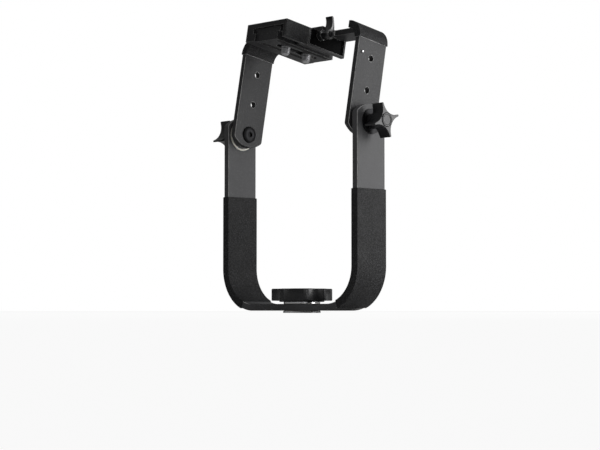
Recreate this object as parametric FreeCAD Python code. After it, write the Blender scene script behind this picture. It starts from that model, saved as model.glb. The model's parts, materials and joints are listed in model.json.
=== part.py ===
import FreeCAD
import Part
import math
import os

# A side-arm gimbal head for a long lens: a U-shaped yoke of flat bar turns on a
# spindle that screws onto a tripod or monopod, and an inverted-U cradle tilts
# inside it on two clamped pivots. A quick-release clamp hangs under the cradle's
# crossbar. Millimetres. The origin is the centre of the spindle's mounting face,
# +X runs along the tilt pivots towards the lever side, +Y is the way the lens
# points and +Z is up.

Vector = FreeCAD.Vector

# Flat bar shared by the yoke and the cradle
bar_width = 40.0
tip_arc_radius = 28.0
tip_corner_radius = 4.0
bar_edge_round = 0.6

# Spindle and pan stack, from the mounting face upwards
mount_disc_radius = 20.0
mount_disc_thickness = 1.9
tripod_thread_radius = 3.97
tripod_thread_depth = 9.0
spindle_boss_radius = 10.0
spindle_stud_radius = 6.0
spindle_stud_length = 12.0
friction_washer_thickness = 0.4
pan_washer_radius = 19.4
pan_washer_thickness = 1.7
running_clearance = 0.05
bushing_wall = 1.5

# Pan knob
pan_knob_radius = 32.3
pan_knob_height = 12.8
pan_knob_hub_radius = 24.0
pan_knob_hub_height = 1.2
pan_ridge_count = 8
pan_ridge_angle = 7.0
pan_scallop_radius = 18.0
pan_scallop_depth = 4.8
pan_knob_edge_round = 1.0
pan_insert_radius = 9.5
pan_cap_radius = 15.0
pan_cap_thickness = 1.2
pan_cap_edge_round = 0.8
cap_recess_depth = 0.9

# Yoke
yoke_half_width = 103.9
yoke_thickness = 7.2
yoke_bend_radius = 46.0
tip_above_pivot = 18.3
cover_thickness = 0.8
cover_top = 126.8
cover_end_angle = 22.0

# Cradle, measured from the tilt pivot in its own upright position
pivot_height = 196.0
cradle_tilt_deg = 10.3
arm_gap = 5.0
cradle_thickness = 6.0
cradle_bend_radius = 18.0
cradle_top = 105.0
cradle_tail = 14.0
pivot_hole_count = 3
pivot_hole_pitch = 34.1
pivot_hole_radius = 3.4
notch_margin = 2.0
notch_depth = 17.7
notch_corner_radius = 3.0
rivet_radius = 1.2
rivet_forward = 14.0
rivet_height = 72.0
rivet_length = 2.0
rivet_stand_out = 0.3

# Tilt pivots, from the inner face of the cradle arm outwards
bolt_head_radius = 9.0
bolt_head_thickness = 3.0
bolt_shank_radius = 3.0
spacer_radius = 15.0
friction_washer_radius = 17.0
tilt_washer_radius = 13.0
tilt_washer_thickness = 1.6
star_hub_radius = 8.0
star_hub_length = 6.5
star_lobe_length = 14.5
star_radius = 18.5
star_lobe_count = 4
star_lobe_angle = 18.5
star_scallop_radius = 16.5
star_scallop_depth = 10.2
star_tip_round = 0.9
star_edge_round = 0.5
star_insert_radius = 6.2
star_insert_length = 15.0
star_cap_radius = 7.2
star_cap_thickness = 1.5

# Quick-release clamp under the crossbar
clamp_half_width = 31.0
clamp_front = -68.5
clamp_back = 18.5
clamp_height = 19.0
clamp_web = 5.2
front_block_end = -36.0
seam_width = 0.6
skin_thickness = 0.8
rim_width = 2.2
pocket_depth = 2.5
pocket_top_margin = 0.1
clamp_edge_round = 0.8
lip_height = 8.0
lip_reach = 3.7
seat_clearance = 0.3
screw_x = 18.0
screw_back_y = 12.0
screw_front_y = -8.0
screw_radius = 2.5
screw_head_radius = 4.6
screw_bite = 4.5

# Jaw, lever and its shaft
jaw_thickness = 3.0
jaw_travel = 3.0
jaw_front = -40.0
jaw_back = 6.0
jaw_foot_clearance = 1.0
jaw_ear_half = 4.0
lever_y = -17.0
lever_drop = 3.4
lever_boss_radius = 5.6
lever_boss_height = 5.0
lever_washer_thickness = 0.6
lever_shaft_radius = 2.4
lever_hub_radius = 5.6
lever_hub_length = 9.9
lever_reach = 19.6
lever_tip_width = 3.0
lever_lean = -0.2
lever_waist_share = 0.6
lever_waist_width = 3.3
lever_waist_shift = 1.9
lever_edge_round = 0.7
lever_shaft_short = 3.0
lever_screw_radius = 3.2
lever_screw_stem_radius = 1.6
lever_screw_head = 1.2
lever_screw_key = 2.5
lever_screw_key_depth = 0.8

# Sliding plate, its pads and the two lens screws
plate_half_width = 19.7
plate_front = -66.0
plate_back = 16.0
plate_flange = 5.0
plate_stand_out = 0.6
plate_slot_half = 5.2
plate_slot_front = -50.0
plate_slot_back = 6.0
plate_head_half = 8.4
pad_width = 6.0
pad_thickness = 1.4
pad_sunk = 0.9
pad_end_margin = 5.0
lens_screw_radius = 4.76
lens_screw_reach = 8.0
lens_screw_shoulder_radius = 5.0
lens_screw_head_radius = 8.0
lens_screw_head_height = 3.0
lens_screw_groove_width = 1.6
lens_screw_groove_depth = 1.5
lens_screw_places = (-38.0, -8.0)

# Worked-out levels of the pan stack
boss_low = mount_disc_thickness
base_low = mount_disc_thickness + friction_washer_thickness
base_high = base_low + yoke_thickness
upper_washer_low = base_high + friction_washer_thickness
knob_low = upper_washer_low + pan_washer_thickness
knob_lobes_low = knob_low + pan_knob_hub_height
knob_high = knob_lobes_low + pan_knob_height
stud_high = knob_low + spindle_stud_length
half_bar = bar_width / 2.0

# Worked-out places along the tilt pivots
yoke_top = pivot_height + tip_above_pivot
yoke_inner = yoke_half_width - yoke_thickness
cradle_outer = yoke_inner - arm_gap
cradle_inner = cradle_outer - cradle_thickness
spacer_outer = yoke_inner - friction_washer_thickness
star_low = yoke_half_width + tilt_washer_thickness
star_lobes_low = star_low + star_hub_length
star_face = star_lobes_low + star_lobe_length
star_insert_end = star_low + star_insert_length
pivot_bushing_radius = bolt_shank_radius + bushing_wall

# Worked-out levels of the clamp
notch_start = clamp_half_width + notch_margin
crossbar_low = cradle_top - cradle_thickness
clamp_low = crossbar_low - clamp_height
web_low = crossbar_low - clamp_web
lip_low = clamp_low
lip_high = lip_low + lip_height
jaw_inner = plate_half_width + seat_clearance
jaw_outer = jaw_inner + jaw_thickness
channel_right = jaw_outer + jaw_travel + seat_clearance
pocket_floor = clamp_half_width - pocket_depth
lever_z = crossbar_low - lever_drop
lever_boss_face = pocket_floor + lever_boss_height
lever_hub_low = lever_boss_face + lever_washer_thickness
lever_hub_face = lever_hub_low + lever_hub_length
plate_top = web_low - seat_clearance
plate_bottom = clamp_low - plate_stand_out
stem_half = jaw_inner - lip_reach - seat_clearance


def save(name, shape):
    """Write one sub-part."""
    shape.exportStep("parts/" + name + ".step")


def block(x_low, x_high, y_low, y_high, z_low, z_high):
    """A box between two corners."""
    size = (x_high - x_low, y_high - y_low, z_high - z_low)
    return Part.makeBox(size[0], size[1], size[2], Vector(x_low, y_low, z_low))


def upright(radius, low, high, x=0.0, y=0.0):
    """A cylinder along Z."""
    return Part.makeCylinder(radius, high - low, Vector(x, y, low))


def across(radius, low, high, y=0.0, z=0.0):
    """A cylinder along X."""
    return Part.makeCylinder(radius, high - low, Vector(low, y, z), Vector(1, 0, 0))


def mirrored(shape):
    """The same piece on the other side of the lens."""
    return shape.mirror(Vector(0, 0, 0), Vector(1, 0, 0))


def tilted(shape):
    """Carry a piece from the upright cradle to its tilted rest position."""
    turned = shape.copy()
    turned.rotate(Vector(0, 0, 0), Vector(1, 0, 0), -cradle_tilt_deg)
    turned.translate(Vector(0, 0, pivot_height))
    return turned


def at_pivot(shape):
    """Carry a piece that is centred on the X axis up to the tilt pivot."""
    raised = shape.copy()
    raised.translate(Vector(0, 0, pivot_height))
    return raised


def u_solid(half_width, low, thickness, bend_radius, high, half_depth):
    """A U of flat bar, open at the top, seen along Y."""
    inner = half_width - thickness
    bend_inner = bend_radius - thickness
    centre_x = half_width - bend_radius
    centre_z = low + bend_radius
    slant = math.sqrt(0.5)

    def corner(side, radius):
        return Vector(side * (centre_x + radius * slant), -half_depth, centre_z - radius * slant)

    def point(x, z):
        return Vector(x, -half_depth, z)

    edges = [
        Part.LineSegment(point(-half_width, high), point(-half_width, centre_z)),
        Part.Arc(point(-half_width, centre_z), corner(-1, bend_radius), point(-centre_x, low)),
        Part.LineSegment(point(-centre_x, low), point(centre_x, low)),
        Part.Arc(point(centre_x, low), corner(1, bend_radius), point(half_width, centre_z)),
        Part.LineSegment(point(half_width, centre_z), point(half_width, high)),
        Part.LineSegment(point(half_width, high), point(inner, high)),
        Part.LineSegment(point(inner, high), point(inner, centre_z)),
        Part.Arc(point(inner, centre_z), corner(1, bend_inner), point(centre_x, low + thickness)),
        Part.LineSegment(point(centre_x, low + thickness), point(-centre_x, low + thickness)),
        Part.Arc(point(-centre_x, low + thickness), corner(-1, bend_inner), point(-inner, centre_z)),
        Part.LineSegment(point(-inner, centre_z), point(-inner, high)),
        Part.LineSegment(point(-inner, high), point(-half_width, high)),
    ]
    wire = Part.Wire([edge.toShape() for edge in edges])
    return Part.Face(wire).extrude(Vector(0, 2 * half_depth, 0))


def tip_envelope(low, high, half_length):
    """The bar's side view with a low arched tip at the top, as a solid along X."""
    drop = tip_arc_radius - math.sqrt(tip_arc_radius ** 2 - half_bar ** 2)
    shoulder = high - drop
    outline = [
        Part.LineSegment(Vector(0, -half_bar, low), Vector(0, -half_bar, shoulder)),
        Part.Arc(Vector(0, -half_bar, shoulder), Vector(0, 0, high), Vector(0, half_bar, shoulder)),
        Part.LineSegment(Vector(0, half_bar, shoulder), Vector(0, half_bar, low)),
        Part.LineSegment(Vector(0, half_bar, low), Vector(0, -half_bar, low)),
    ]
    wire = Part.Wire([edge.toShape() for edge in outline])
    solid = Part.Face(wire).extrude(Vector(2 * half_length, 0, 0))
    solid.translate(Vector(-half_length, 0, 0))
    shoulders = [
        edge for edge in solid.Edges
        if abs(edge.CenterOfMass.z - shoulder) < 0.01 and abs(abs(edge.CenterOfMass.y) - half_bar) < 0.01
    ]
    return solid.makeFillet(tip_corner_radius, shoulders)


def rounded_long_edges(shape, radius):
    """Break the two faces' edges that run round the outline at the bar's front and back."""
    edges = [
        edge for edge in shape.Edges
        if abs(edge.BoundBox.YLength) < 0.01 and abs(abs(edge.CenterOfMass.y) - half_bar) < 0.01
    ]
    return shape.makeFillet(radius, edges)


def yoke_blank():
    """The yoke's U before its holes."""
    return u_solid(yoke_half_width, base_low, yoke_thickness, yoke_bend_radius, yoke_top, half_bar)


def make_yoke_bar():
    """Flat bar bent to a U, with arched arm tips, the spindle hole and two pivot holes."""
    bar = yoke_blank().common(tip_envelope(0.0, yoke_top, yoke_half_width))
    bar = rounded_long_edges(bar, bar_edge_round)
    bar = bar.cut(upright(spindle_boss_radius + running_clearance + bushing_wall, 0.0, base_high + 1.0))
    hole = across(pivot_bushing_radius, -yoke_half_width - 1.0, yoke_half_width + 1.0, 0.0, pivot_height)
    return bar.cut(hole)


def make_yoke_cover():
    """Textured sleeve on the right arm and its bend, ending short of the flat base."""
    grow = cover_thickness
    outer = u_solid(
        yoke_half_width + grow, base_low - grow, yoke_thickness + 2 * grow, yoke_bend_radius + grow,
        yoke_top, half_bar + grow)
    sleeve = outer.cut(yoke_blank())
    centre = Vector(yoke_half_width - yoke_bend_radius, 0, base_low + yoke_bend_radius)
    reach = 2 * yoke_bend_radius
    angle = math.radians(cover_end_angle)
    cut_end = Vector(centre.x + reach * math.sin(angle), 0, centre.z - reach * math.cos(angle))
    side = centre.x + 2 * reach
    corners = [
        centre,
        cut_end,
        Vector(side, 0, cut_end.z),
        Vector(side, 0, cover_top),
        Vector(centre.x, 0, cover_top),
        centre,
    ]
    zone = Part.Face(Part.makePolygon(corners)).extrude(Vector(0, 2 * bar_width, 0))
    zone.translate(Vector(0, -bar_width, 0))
    return sleeve.common(zone)


def make_mount_spindle():
    """Mounting disc, boss and stud in one turned piece, tapped from below."""
    spindle = upright(mount_disc_radius, 0.0, mount_disc_thickness)
    spindle = spindle.fuse(upright(spindle_boss_radius, 0.0, base_high))
    spindle = spindle.fuse(upright(spindle_stud_radius, 0.0, stud_high))
    spindle = spindle.cut(upright(tripod_thread_radius, -1.0, tripod_thread_depth))
    return spindle.removeSplitter()


def ring(inner_radius, outer_radius, low, high):
    """A flat ring round Z."""
    return upright(outer_radius, low, high).cut(upright(inner_radius, low - 1.0, high + 1.0))


def cross_ring(inner_radius, outer_radius, low, high):
    """A flat ring round X."""
    return across(outer_radius, low, high).cut(across(inner_radius, low - 1.0, high + 1.0))


def scalloped(radius, low, high, count, first_angle, scallop_radius, scallop_depth):
    """A disc round Z whose rim is cut by round scallops, leaving ridges between them."""
    body = upright(radius, low, high)
    centre_distance = radius - scallop_depth + scallop_radius
    for index in range(count):
        angle = math.radians(first_angle + (index + 0.5) * 360.0 / count)
        x = centre_distance * math.cos(angle)
        y = centre_distance * math.sin(angle)
        body = body.cut(upright(scallop_radius, low - 1.0, high + 1.0, x, y))
    return body


def rounded_ends(shape, level, radius):
    """Round the edges of the face at one height."""
    edges = [
        edge for edge in shape.Edges
        if abs(edge.CenterOfMass.z - level) < 0.01 and edge.BoundBox.ZLength < 0.01
    ]
    return shape.makeFillet(radius, edges)


def make_pan_knob():
    """Eight-ridged knob with a low hub below and a recess for its cap above."""
    lobes = scalloped(
        pan_knob_radius, knob_lobes_low, knob_high, pan_ridge_count, pan_ridge_angle,
        pan_scallop_radius, pan_scallop_depth)
    lobes = rounded_ends(lobes, knob_high, pan_knob_edge_round)
    knob = lobes.fuse(upright(pan_knob_hub_radius, knob_low, knob_lobes_low))
    knob = knob.cut(upright(pan_insert_radius, knob_low - 1.0, stud_high))
    knob = knob.cut(upright(spindle_stud_radius + running_clearance, stud_high - 1.0, knob_high))
    return knob.cut(upright(pan_cap_radius, knob_high - cap_recess_depth, knob_high + 1.0))


def make_pan_knob_cap():
    """Domed plug that closes the top of the pan knob."""
    low = knob_high - cap_recess_depth
    cap = upright(pan_cap_radius, low, low + pan_cap_thickness)
    return rounded_ends(cap, low + pan_cap_thickness, pan_cap_edge_round)


def build_base():
    """Everything on the pan axis."""
    stud_bore = spindle_stud_radius + running_clearance
    boss_bore = spindle_boss_radius + running_clearance
    save("mount_spindle", make_mount_spindle())
    save("lower_friction_washer", ring(boss_bore, pan_washer_radius, boss_low, base_low))
    save("base_bushing", ring(boss_bore, boss_bore + bushing_wall, base_low, base_high))
    save("upper_friction_washer", ring(stud_bore, pan_washer_radius, base_high, upper_washer_low))
    save("pan_washer", ring(stud_bore, pan_washer_radius, upper_washer_low, knob_low))
    save("pan_knob", make_pan_knob())
    save("pan_knob_insert", ring(stud_bore, pan_insert_radius, knob_low, stud_high))
    save("pan_knob_cap", make_pan_knob_cap())


def build_yoke():
    """The yoke, its two textured sleeves and its pivot bushings."""
    save("yoke_bar", make_yoke_bar())
    cover = make_yoke_cover()
    save("yoke_cover_right", cover)
    save("yoke_cover_left", mirrored(cover))
    bore = bolt_shank_radius + running_clearance
    bushing = at_pivot(cross_ring(bore, pivot_bushing_radius, yoke_inner, yoke_half_width))
    save("pivot_bushing_right", bushing)
    save("pivot_bushing_left", mirrored(bushing))


def cradle_blank(grow):
    """The cradle's inverted U, grown by a skin's thickness on every side."""
    shape = u_solid(
        cradle_outer + grow, -cradle_top - grow, cradle_thickness + 2 * grow, cradle_bend_radius + grow,
        cradle_tail, half_bar + grow)
    return shape.mirror(Vector(0, 0, 0), Vector(0, 0, 1))


def notch_solid():
    """Cut in the crossbar's front edge that lets the lever stand up and swing."""
    end = cradle_outer - cradle_bend_radius
    back = -half_bar + notch_depth
    cutter = block(notch_start, end, -bar_width, back, crossbar_low - 2.0, cradle_top + 2.0)
    corners = [
        edge for edge in cutter.Edges
        if edge.BoundBox.ZLength > 1.0 and abs(edge.CenterOfMass.y - back) < 0.01
    ]
    return cutter.makeFillet(notch_corner_radius, corners)


def clamp_screw_places():
    """Where the four screws hold the clamp to the crossbar."""
    return [(side * screw_x, y) for side in (-1, 1) for y in (screw_front_y, screw_back_y)]


def clamp_screw(x, y, gap):
    """One countersunk screw, or with a gap the hole for it."""
    head_depth = screw_head_radius - screw_radius
    head = Part.makeCone(
        screw_radius + gap, screw_head_radius + gap, head_depth, Vector(x, y, cradle_top - head_depth))
    shank = upright(screw_radius + gap, crossbar_low - screw_bite, cradle_top - head_depth, x, y)
    return head.fuse(shank)


def make_cradle_bar():
    """Flat bar bent to an inverted U, with spare pivot holes, the lever notch and screw holes."""
    envelope = tip_envelope(-cradle_top, cradle_tail, cradle_outer).mirror(Vector(0, 0, 0), Vector(0, 0, 1))
    bar = cradle_blank(0.0).common(envelope)
    bar = rounded_long_edges(bar, bar_edge_round)
    bar = bar.cut(notch_solid())
    for index in range(pivot_hole_count):
        height = index * pivot_hole_pitch
        bar = bar.cut(across(pivot_hole_radius, -cradle_outer - 1.0, cradle_outer + 1.0, 0.0, height))
    for side in (-1, 1):
        middle = side * cradle_outer
        low = middle - rivet_length
        high = middle + rivet_length
        bar = bar.cut(across(rivet_radius, low, high, -rivet_forward, rivet_height))
    for x, y in clamp_screw_places():
        bar = bar.cut(clamp_screw(x, y, 0.0))
    return bar


def make_corner_cover():
    """Textured sleeve round the cradle's right bend."""
    sleeve = cradle_blank(cover_thickness).cut(cradle_blank(0.0))
    bend_start_x = cradle_outer - cradle_bend_radius
    bend_start_z = cradle_top - cradle_bend_radius
    reach = 2 * cradle_bend_radius
    zone = block(
        bend_start_x, bend_start_x + reach, -bar_width, bar_width, bend_start_z, bend_start_z + reach)
    return sleeve.common(zone)


def make_rivets():
    """One small bright rivet near the front edge of each arm."""
    solids = []
    for side in (-1, 1):
        outer = side * cradle_outer
        low = min(outer - side * rivet_length, outer + side * rivet_stand_out)
        high = low + rivet_length + rivet_stand_out
        solids.append(across(rivet_radius, low, high, -rivet_forward, rivet_height))
    return Part.makeCompound(solids)


def make_pivot_bolt():
    """Low-headed bolt with a shoulder that fills the cradle's hole."""
    head = across(bolt_head_radius, cradle_inner - bolt_head_thickness, cradle_inner)
    face = cradle_inner - bolt_head_thickness
    rim = [edge for edge in head.Edges if abs(edge.CenterOfMass.x - face) < 0.01]
    head = head.makeFillet(bolt_head_thickness / 2.0, rim)
    shoulder = across(pivot_hole_radius - running_clearance, cradle_inner, cradle_outer)
    shank = across(bolt_shank_radius, cradle_inner, star_insert_end)
    return head.fuse(shoulder).fuse(shank).removeSplitter()


def lay_on_x(shape):
    """Turn a shape made round Z so that it lies round X."""
    turned = shape.copy()
    turned.rotate(Vector(0, 0, 0), Vector(0, 1, 0), 90.0)
    return turned


def make_star_knob():
    """Four-lobed knob on a round hub, with a cap recess in its face."""
    lobes = scalloped(
        star_radius, star_lobes_low, star_face, star_lobe_count, star_lobe_angle,
        star_scallop_radius, star_scallop_depth)
    tips = [
        edge for edge in lobes.Edges
        if edge.BoundBox.ZLength > star_lobe_length - 0.1 and edge.Curve.TypeId == "Part::GeomLine"
        and math.hypot(edge.CenterOfMass.x, edge.CenterOfMass.y) > star_radius - 0.1
    ]
    lobes = lobes.makeFillet(star_tip_round, tips)
    lobes = rounded_ends(lobes, star_face, star_edge_round)
    knob = lobes.fuse(upright(star_hub_radius, star_low, star_lobes_low))
    knob = knob.cut(upright(star_insert_radius, star_low - 1.0, star_insert_end))
    knob = knob.cut(upright(star_cap_radius, star_face - cap_recess_depth, star_face + 1.0))
    return at_pivot(lay_on_x(knob))


def make_star_cap():
    """Round plug in the face of a star knob."""
    low = star_face - cap_recess_depth
    cap = upright(star_cap_radius, low, low + star_cap_thickness)
    cap = rounded_ends(cap, low + star_cap_thickness, star_cap_thickness - cap_recess_depth)
    return at_pivot(lay_on_x(cap))


def build_pivots():
    """The two tilt pivots, the same pieces mirrored."""
    bore = bolt_shank_radius + running_clearance
    pieces = {
        "pivot_bolt": tilted(make_pivot_bolt()),
        "pivot_spacer": tilted(cross_ring(bore, spacer_radius, cradle_outer, spacer_outer)),
        "pivot_friction_washer": at_pivot(cross_ring(bore, friction_washer_radius, spacer_outer, yoke_inner)),
        "tilt_washer": at_pivot(cross_ring(bore, tilt_washer_radius, yoke_half_width, star_low)),
        "star_knob": make_star_knob(),
        "star_knob_insert": at_pivot(cross_ring(bore, star_insert_radius, star_low, star_insert_end)),
        "star_knob_cap": make_star_cap(),
    }
    for name, shape in pieces.items():
        save(name + "_right", shape)
        save(name + "_left", mirrored(shape))


def side_pocket(side):
    """Shallow pocket in one side of the clamp, leaving a rim at its front, back and foot."""
    low = min(side * pocket_floor, side * (clamp_half_width + 1.0))
    high = max(side * pocket_floor, side * (clamp_half_width + 1.0))
    return block(
        low, high, front_block_end + seam_width + rim_width, clamp_back - rim_width,
        clamp_low + rim_width, crossbar_low - pocket_top_margin)


def ear_pocket():
    """Pocket through the web, in which the jaw's ear moves with the shaft."""
    half = jaw_ear_half + seat_clearance
    inner = jaw_inner - seat_clearance
    return block(inner, channel_right, lever_y - half, lever_y + half, web_low - 1.0, crossbar_low)


def lever_boss():
    """Round boss on the clamp's right side, flat where it meets the crossbar."""
    boss = across(lever_boss_radius, channel_right, lever_boss_face, lever_y, lever_z)
    radius = lever_boss_radius
    return boss.common(block(
        channel_right, lever_boss_face, lever_y - radius, lever_y + radius, lever_z - radius, crossbar_low))


def make_clamp_body():
    """Inverted channel with a lip under its left side and a boss for the lever on the right."""
    body = block(-clamp_half_width, clamp_half_width, clamp_front, clamp_back, clamp_low, crossbar_low)
    long_edges = [
        edge for edge in body.Edges
        if edge.BoundBox.YLength > 1.0 and abs(edge.CenterOfMass.z - clamp_low) < 0.01
    ]
    body = body.makeFillet(clamp_edge_round, long_edges)
    left = -jaw_inner
    body = body.cut(block(left, channel_right, clamp_front - 1.0, clamp_back + 1.0, lip_high, web_low))
    body = body.cut(block(
        left + lip_reach, channel_right, clamp_front - 1.0, clamp_back + 1.0, clamp_low - 1.0, lip_high))
    for side in (-1, 1):
        body = body.cut(side_pocket(side))
        outer = side * clamp_half_width
        low = min(outer, outer - side * skin_thickness)
        seam_end = front_block_end + seam_width
        body = body.cut(block(
            low, low + skin_thickness, clamp_front - 1.0, seam_end, clamp_low - 1.0, crossbar_low + 1.0))
    body = body.cut(ear_pocket()).fuse(lever_boss())
    bore = lever_shaft_radius + running_clearance
    body = body.cut(across(bore, 0.0, lever_boss_face + 1.0, lever_y, lever_z))
    for x, y in clamp_screw_places():
        body = body.cut(clamp_screw(x, y, 0.0))
    return body.removeSplitter()


def make_clamp_skin(side):
    """Textured skin on one side of the clamp's front block."""
    outer = side * clamp_half_width
    low = min(outer, outer - side * skin_thickness)
    skin = block(low, low + skin_thickness, clamp_front, front_block_end, clamp_low, crossbar_low)
    rim = [
        edge for edge in skin.Edges
        if edge.BoundBox.XLength < 0.01 and abs(edge.CenterOfMass.x - outer) < 0.01
    ]
    return skin.makeFillet(skin_thickness / 2.0, rim)


def make_jaw():
    """Right-hand jaw: a bar with a lip under the plate's flange and an ear for the shaft."""
    rise = web_low - seat_clearance
    foot = clamp_low + jaw_foot_clearance
    jaw = block(jaw_inner, jaw_outer, jaw_front, jaw_back, foot, rise)
    jaw = jaw.fuse(block(jaw_inner - lip_reach, jaw_inner, jaw_front, jaw_back, foot, lip_high))
    jaw = jaw.fuse(block(
        jaw_inner, jaw_outer, lever_y - jaw_ear_half, lever_y + jaw_ear_half, rise,
        crossbar_low - seat_clearance))
    bore = lever_shaft_radius + running_clearance
    jaw = jaw.cut(across(bore, 0.0, jaw_outer + 1.0, lever_y, lever_z))
    return jaw.removeSplitter()


def make_lever_shaft():
    """Steel shaft from the jaw through the boss into the lever."""
    end = lever_hub_face - lever_shaft_short
    return across(lever_shaft_radius, jaw_inner + seat_clearance, end, lever_y, lever_z)


def lever_outline():
    """The lever's side view: a round hub that sweeps up into a thin upright handle."""
    start = Vector(0, lever_y - lever_hub_radius, lever_z)
    under = Vector(0, lever_y, lever_z - lever_hub_radius)
    end = Vector(0, lever_y + lever_hub_radius, lever_z)
    tip_y = lever_y + lever_lean
    tip_z = lever_z + lever_reach
    half_tip = lever_tip_width / 2.0
    tip_front = Vector(0, tip_y - half_tip, tip_z - half_tip / 2.0)
    tip_top = Vector(0, tip_y, tip_z)
    tip_back = Vector(0, tip_y + half_tip, tip_z - half_tip / 2.0)
    waist_y = lever_y + lever_waist_shift
    waist_z = lever_z + lever_waist_share * lever_reach
    half_waist = lever_waist_width / 2.0
    edges = [
        Part.Arc(start, under, end).toShape(),
        Part.Arc(end, Vector(0, waist_y + half_waist, waist_z), tip_back).toShape(),
        Part.Arc(tip_back, tip_top, tip_front).toShape(),
        Part.Arc(tip_front, Vector(0, waist_y - half_waist, waist_z), start).toShape(),
    ]
    return Part.Face(Part.Wire(edges))


def make_lever():
    """Paddle lever on the clamp's side, standing up through the crossbar's notch."""
    lever = lever_outline().extrude(Vector(lever_hub_length, 0, 0))
    lever.translate(Vector(lever_hub_low, 0, 0))
    rim = [
        edge for edge in lever.Edges
        if edge.BoundBox.XLength < 0.01 and edge.CenterOfMass.x > lever_hub_face - 0.01
    ]
    lever = lever.makeFillet(lever_edge_round, rim)
    socket_end = lever_hub_face - lever_shaft_short
    lever = lever.cut(across(lever_shaft_radius, lever_hub_low - 1.0, socket_end, lever_y, lever_z))
    return lever.cut(across(lever_screw_stem_radius, 0.0, lever_hub_face + 1.0, lever_y, lever_z))


def hexagon(centre, across_flats, depth):
    """A hexagonal prism along X, used as a key socket."""
    corner = across_flats / math.sqrt(3.0)
    points = []
    for index in range(7):
        angle = math.radians(60.0 * index)
        points.append(centre + Vector(0, corner * math.cos(angle), corner * math.sin(angle)))
    return Part.Face(Part.makePolygon(points)).extrude(Vector(depth, 0, 0))


def make_lever_screw():
    """Button-headed screw that holds the lever on its shaft."""
    head = across(lever_screw_radius, lever_hub_face, lever_hub_face + lever_screw_head, lever_y, lever_z)
    outer = lever_hub_face + lever_screw_head
    rim = [edge for edge in head.Edges if abs(edge.CenterOfMass.x - outer) < 0.01]
    head = head.makeFillet(lever_screw_head / 2.0, rim)
    stem_low = lever_hub_face - lever_shaft_short
    stem = across(lever_screw_stem_radius, stem_low, lever_hub_face, lever_y, lever_z)
    socket_place = Vector(outer - lever_screw_key_depth, lever_y, lever_z)
    return head.fuse(stem).cut(hexagon(socket_place, lever_screw_key, lever_screw_key_depth + 1.0))


def slot(half_width, front, back, low, high):
    """A round-ended slot along Y."""
    straight = block(-half_width, half_width, front + half_width, back - half_width, low, high)
    first = upright(half_width, low, high, 0.0, front + half_width)
    last = upright(half_width, low, high, 0.0, back - half_width)
    return straight.fuse(first).fuse(last)


def pad_places():
    """The two pads' inner and outer edges across the plate."""
    outer = stem_half - seat_clearance
    return [(-outer, -outer + pad_width), (outer - pad_width, outer)]


def make_slide_plate():
    """Long plate with side flanges, a slot for the lens screws and two pad grooves."""
    flange_low = plate_top - plate_flange
    plate = block(-plate_half_width, plate_half_width, plate_front, plate_back, flange_low, plate_top)
    stem = block(-stem_half, stem_half, plate_front, plate_back, plate_bottom, flange_low)
    plate = plate.fuse(stem).removeSplitter()
    plate = plate.cut(slot(
        plate_slot_half, plate_slot_front, plate_slot_back, plate_bottom - 1.0, plate_top + 1.0))
    wider = plate_head_half - plate_slot_half
    plate = plate.cut(slot(
        plate_head_half, plate_slot_front - wider, plate_slot_back + wider, flange_low, plate_top + 1.0))
    for low, high in pad_places():
        plate = plate.cut(block(
            low, high, plate_front + pad_end_margin, plate_back - pad_end_margin,
            plate_bottom - 1.0, plate_bottom + pad_sunk))
    return plate


def make_pads():
    """Two ribbed rubber strips that grip the lens foot."""
    top = plate_bottom + pad_sunk
    strips = [
        block(low, high, plate_front + pad_end_margin, plate_back - pad_end_margin, top - pad_thickness, top)
        for low, high in pad_places()
    ]
    return Part.makeCompound(strips)


def make_lens_screw(y):
    """Slotted screw whose shank stands out under the plate."""
    head_low = plate_top - plate_flange
    head = upright(lens_screw_head_radius, head_low, head_low + lens_screw_head_height, 0.0, y)
    shoulder = upright(lens_screw_shoulder_radius, plate_bottom, head_low, 0.0, y)
    shank = upright(lens_screw_radius, plate_bottom - lens_screw_reach, plate_bottom, 0.0, y)
    screw = head.fuse(shoulder).fuse(shank)
    half = lens_screw_groove_width / 2.0
    groove_low = head_low + lens_screw_head_height - lens_screw_groove_depth
    reach = lens_screw_head_radius
    return screw.cut(block(-reach, reach, y - half, y + half, groove_low, plate_top))


def build_cradle():
    """The cradle, the clamp and what the clamp holds, all at the rest tilt."""
    cover = make_corner_cover()
    screws = Part.makeCompound([clamp_screw(x, y, 0.0) for x, y in clamp_screw_places()])
    washer = across(lever_boss_radius, lever_boss_face, lever_hub_low, lever_y, lever_z)
    bore = lever_shaft_radius + running_clearance
    washer = washer.cut(across(bore, 0.0, lever_hub_low + 1.0, lever_y, lever_z))
    front, rear = lens_screw_places
    pieces = {
        "cradle_bar": make_cradle_bar(),
        "corner_cover_right": cover,
        "corner_cover_left": mirrored(cover),
        "arm_rivets": make_rivets(),
        "clamp_body": make_clamp_body(),
        "clamp_skin_right": make_clamp_skin(1),
        "clamp_skin_left": make_clamp_skin(-1),
        "clamp_screws": screws,
        "clamp_jaw": make_jaw(),
        "lever_shaft": make_lever_shaft(),
        "lever_washer": washer,
        "clamp_lever": make_lever(),
        "lever_screw": make_lever_screw(),
        "slide_plate": make_slide_plate(),
        "plate_pads": make_pads(),
        "lens_screw_front": make_lens_screw(front),
        "lens_screw_rear": make_lens_screw(rear),
    }
    for name, shape in pieces.items():
        save(name, tilted(shape))


os.makedirs("parts", exist_ok=True)
build_base()
build_yoke()
build_pivots()
build_cradle()
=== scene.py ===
"""Dresses the gimbal tripod head: detailed knobs, screws, pads and trim, and every finish."""

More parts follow.
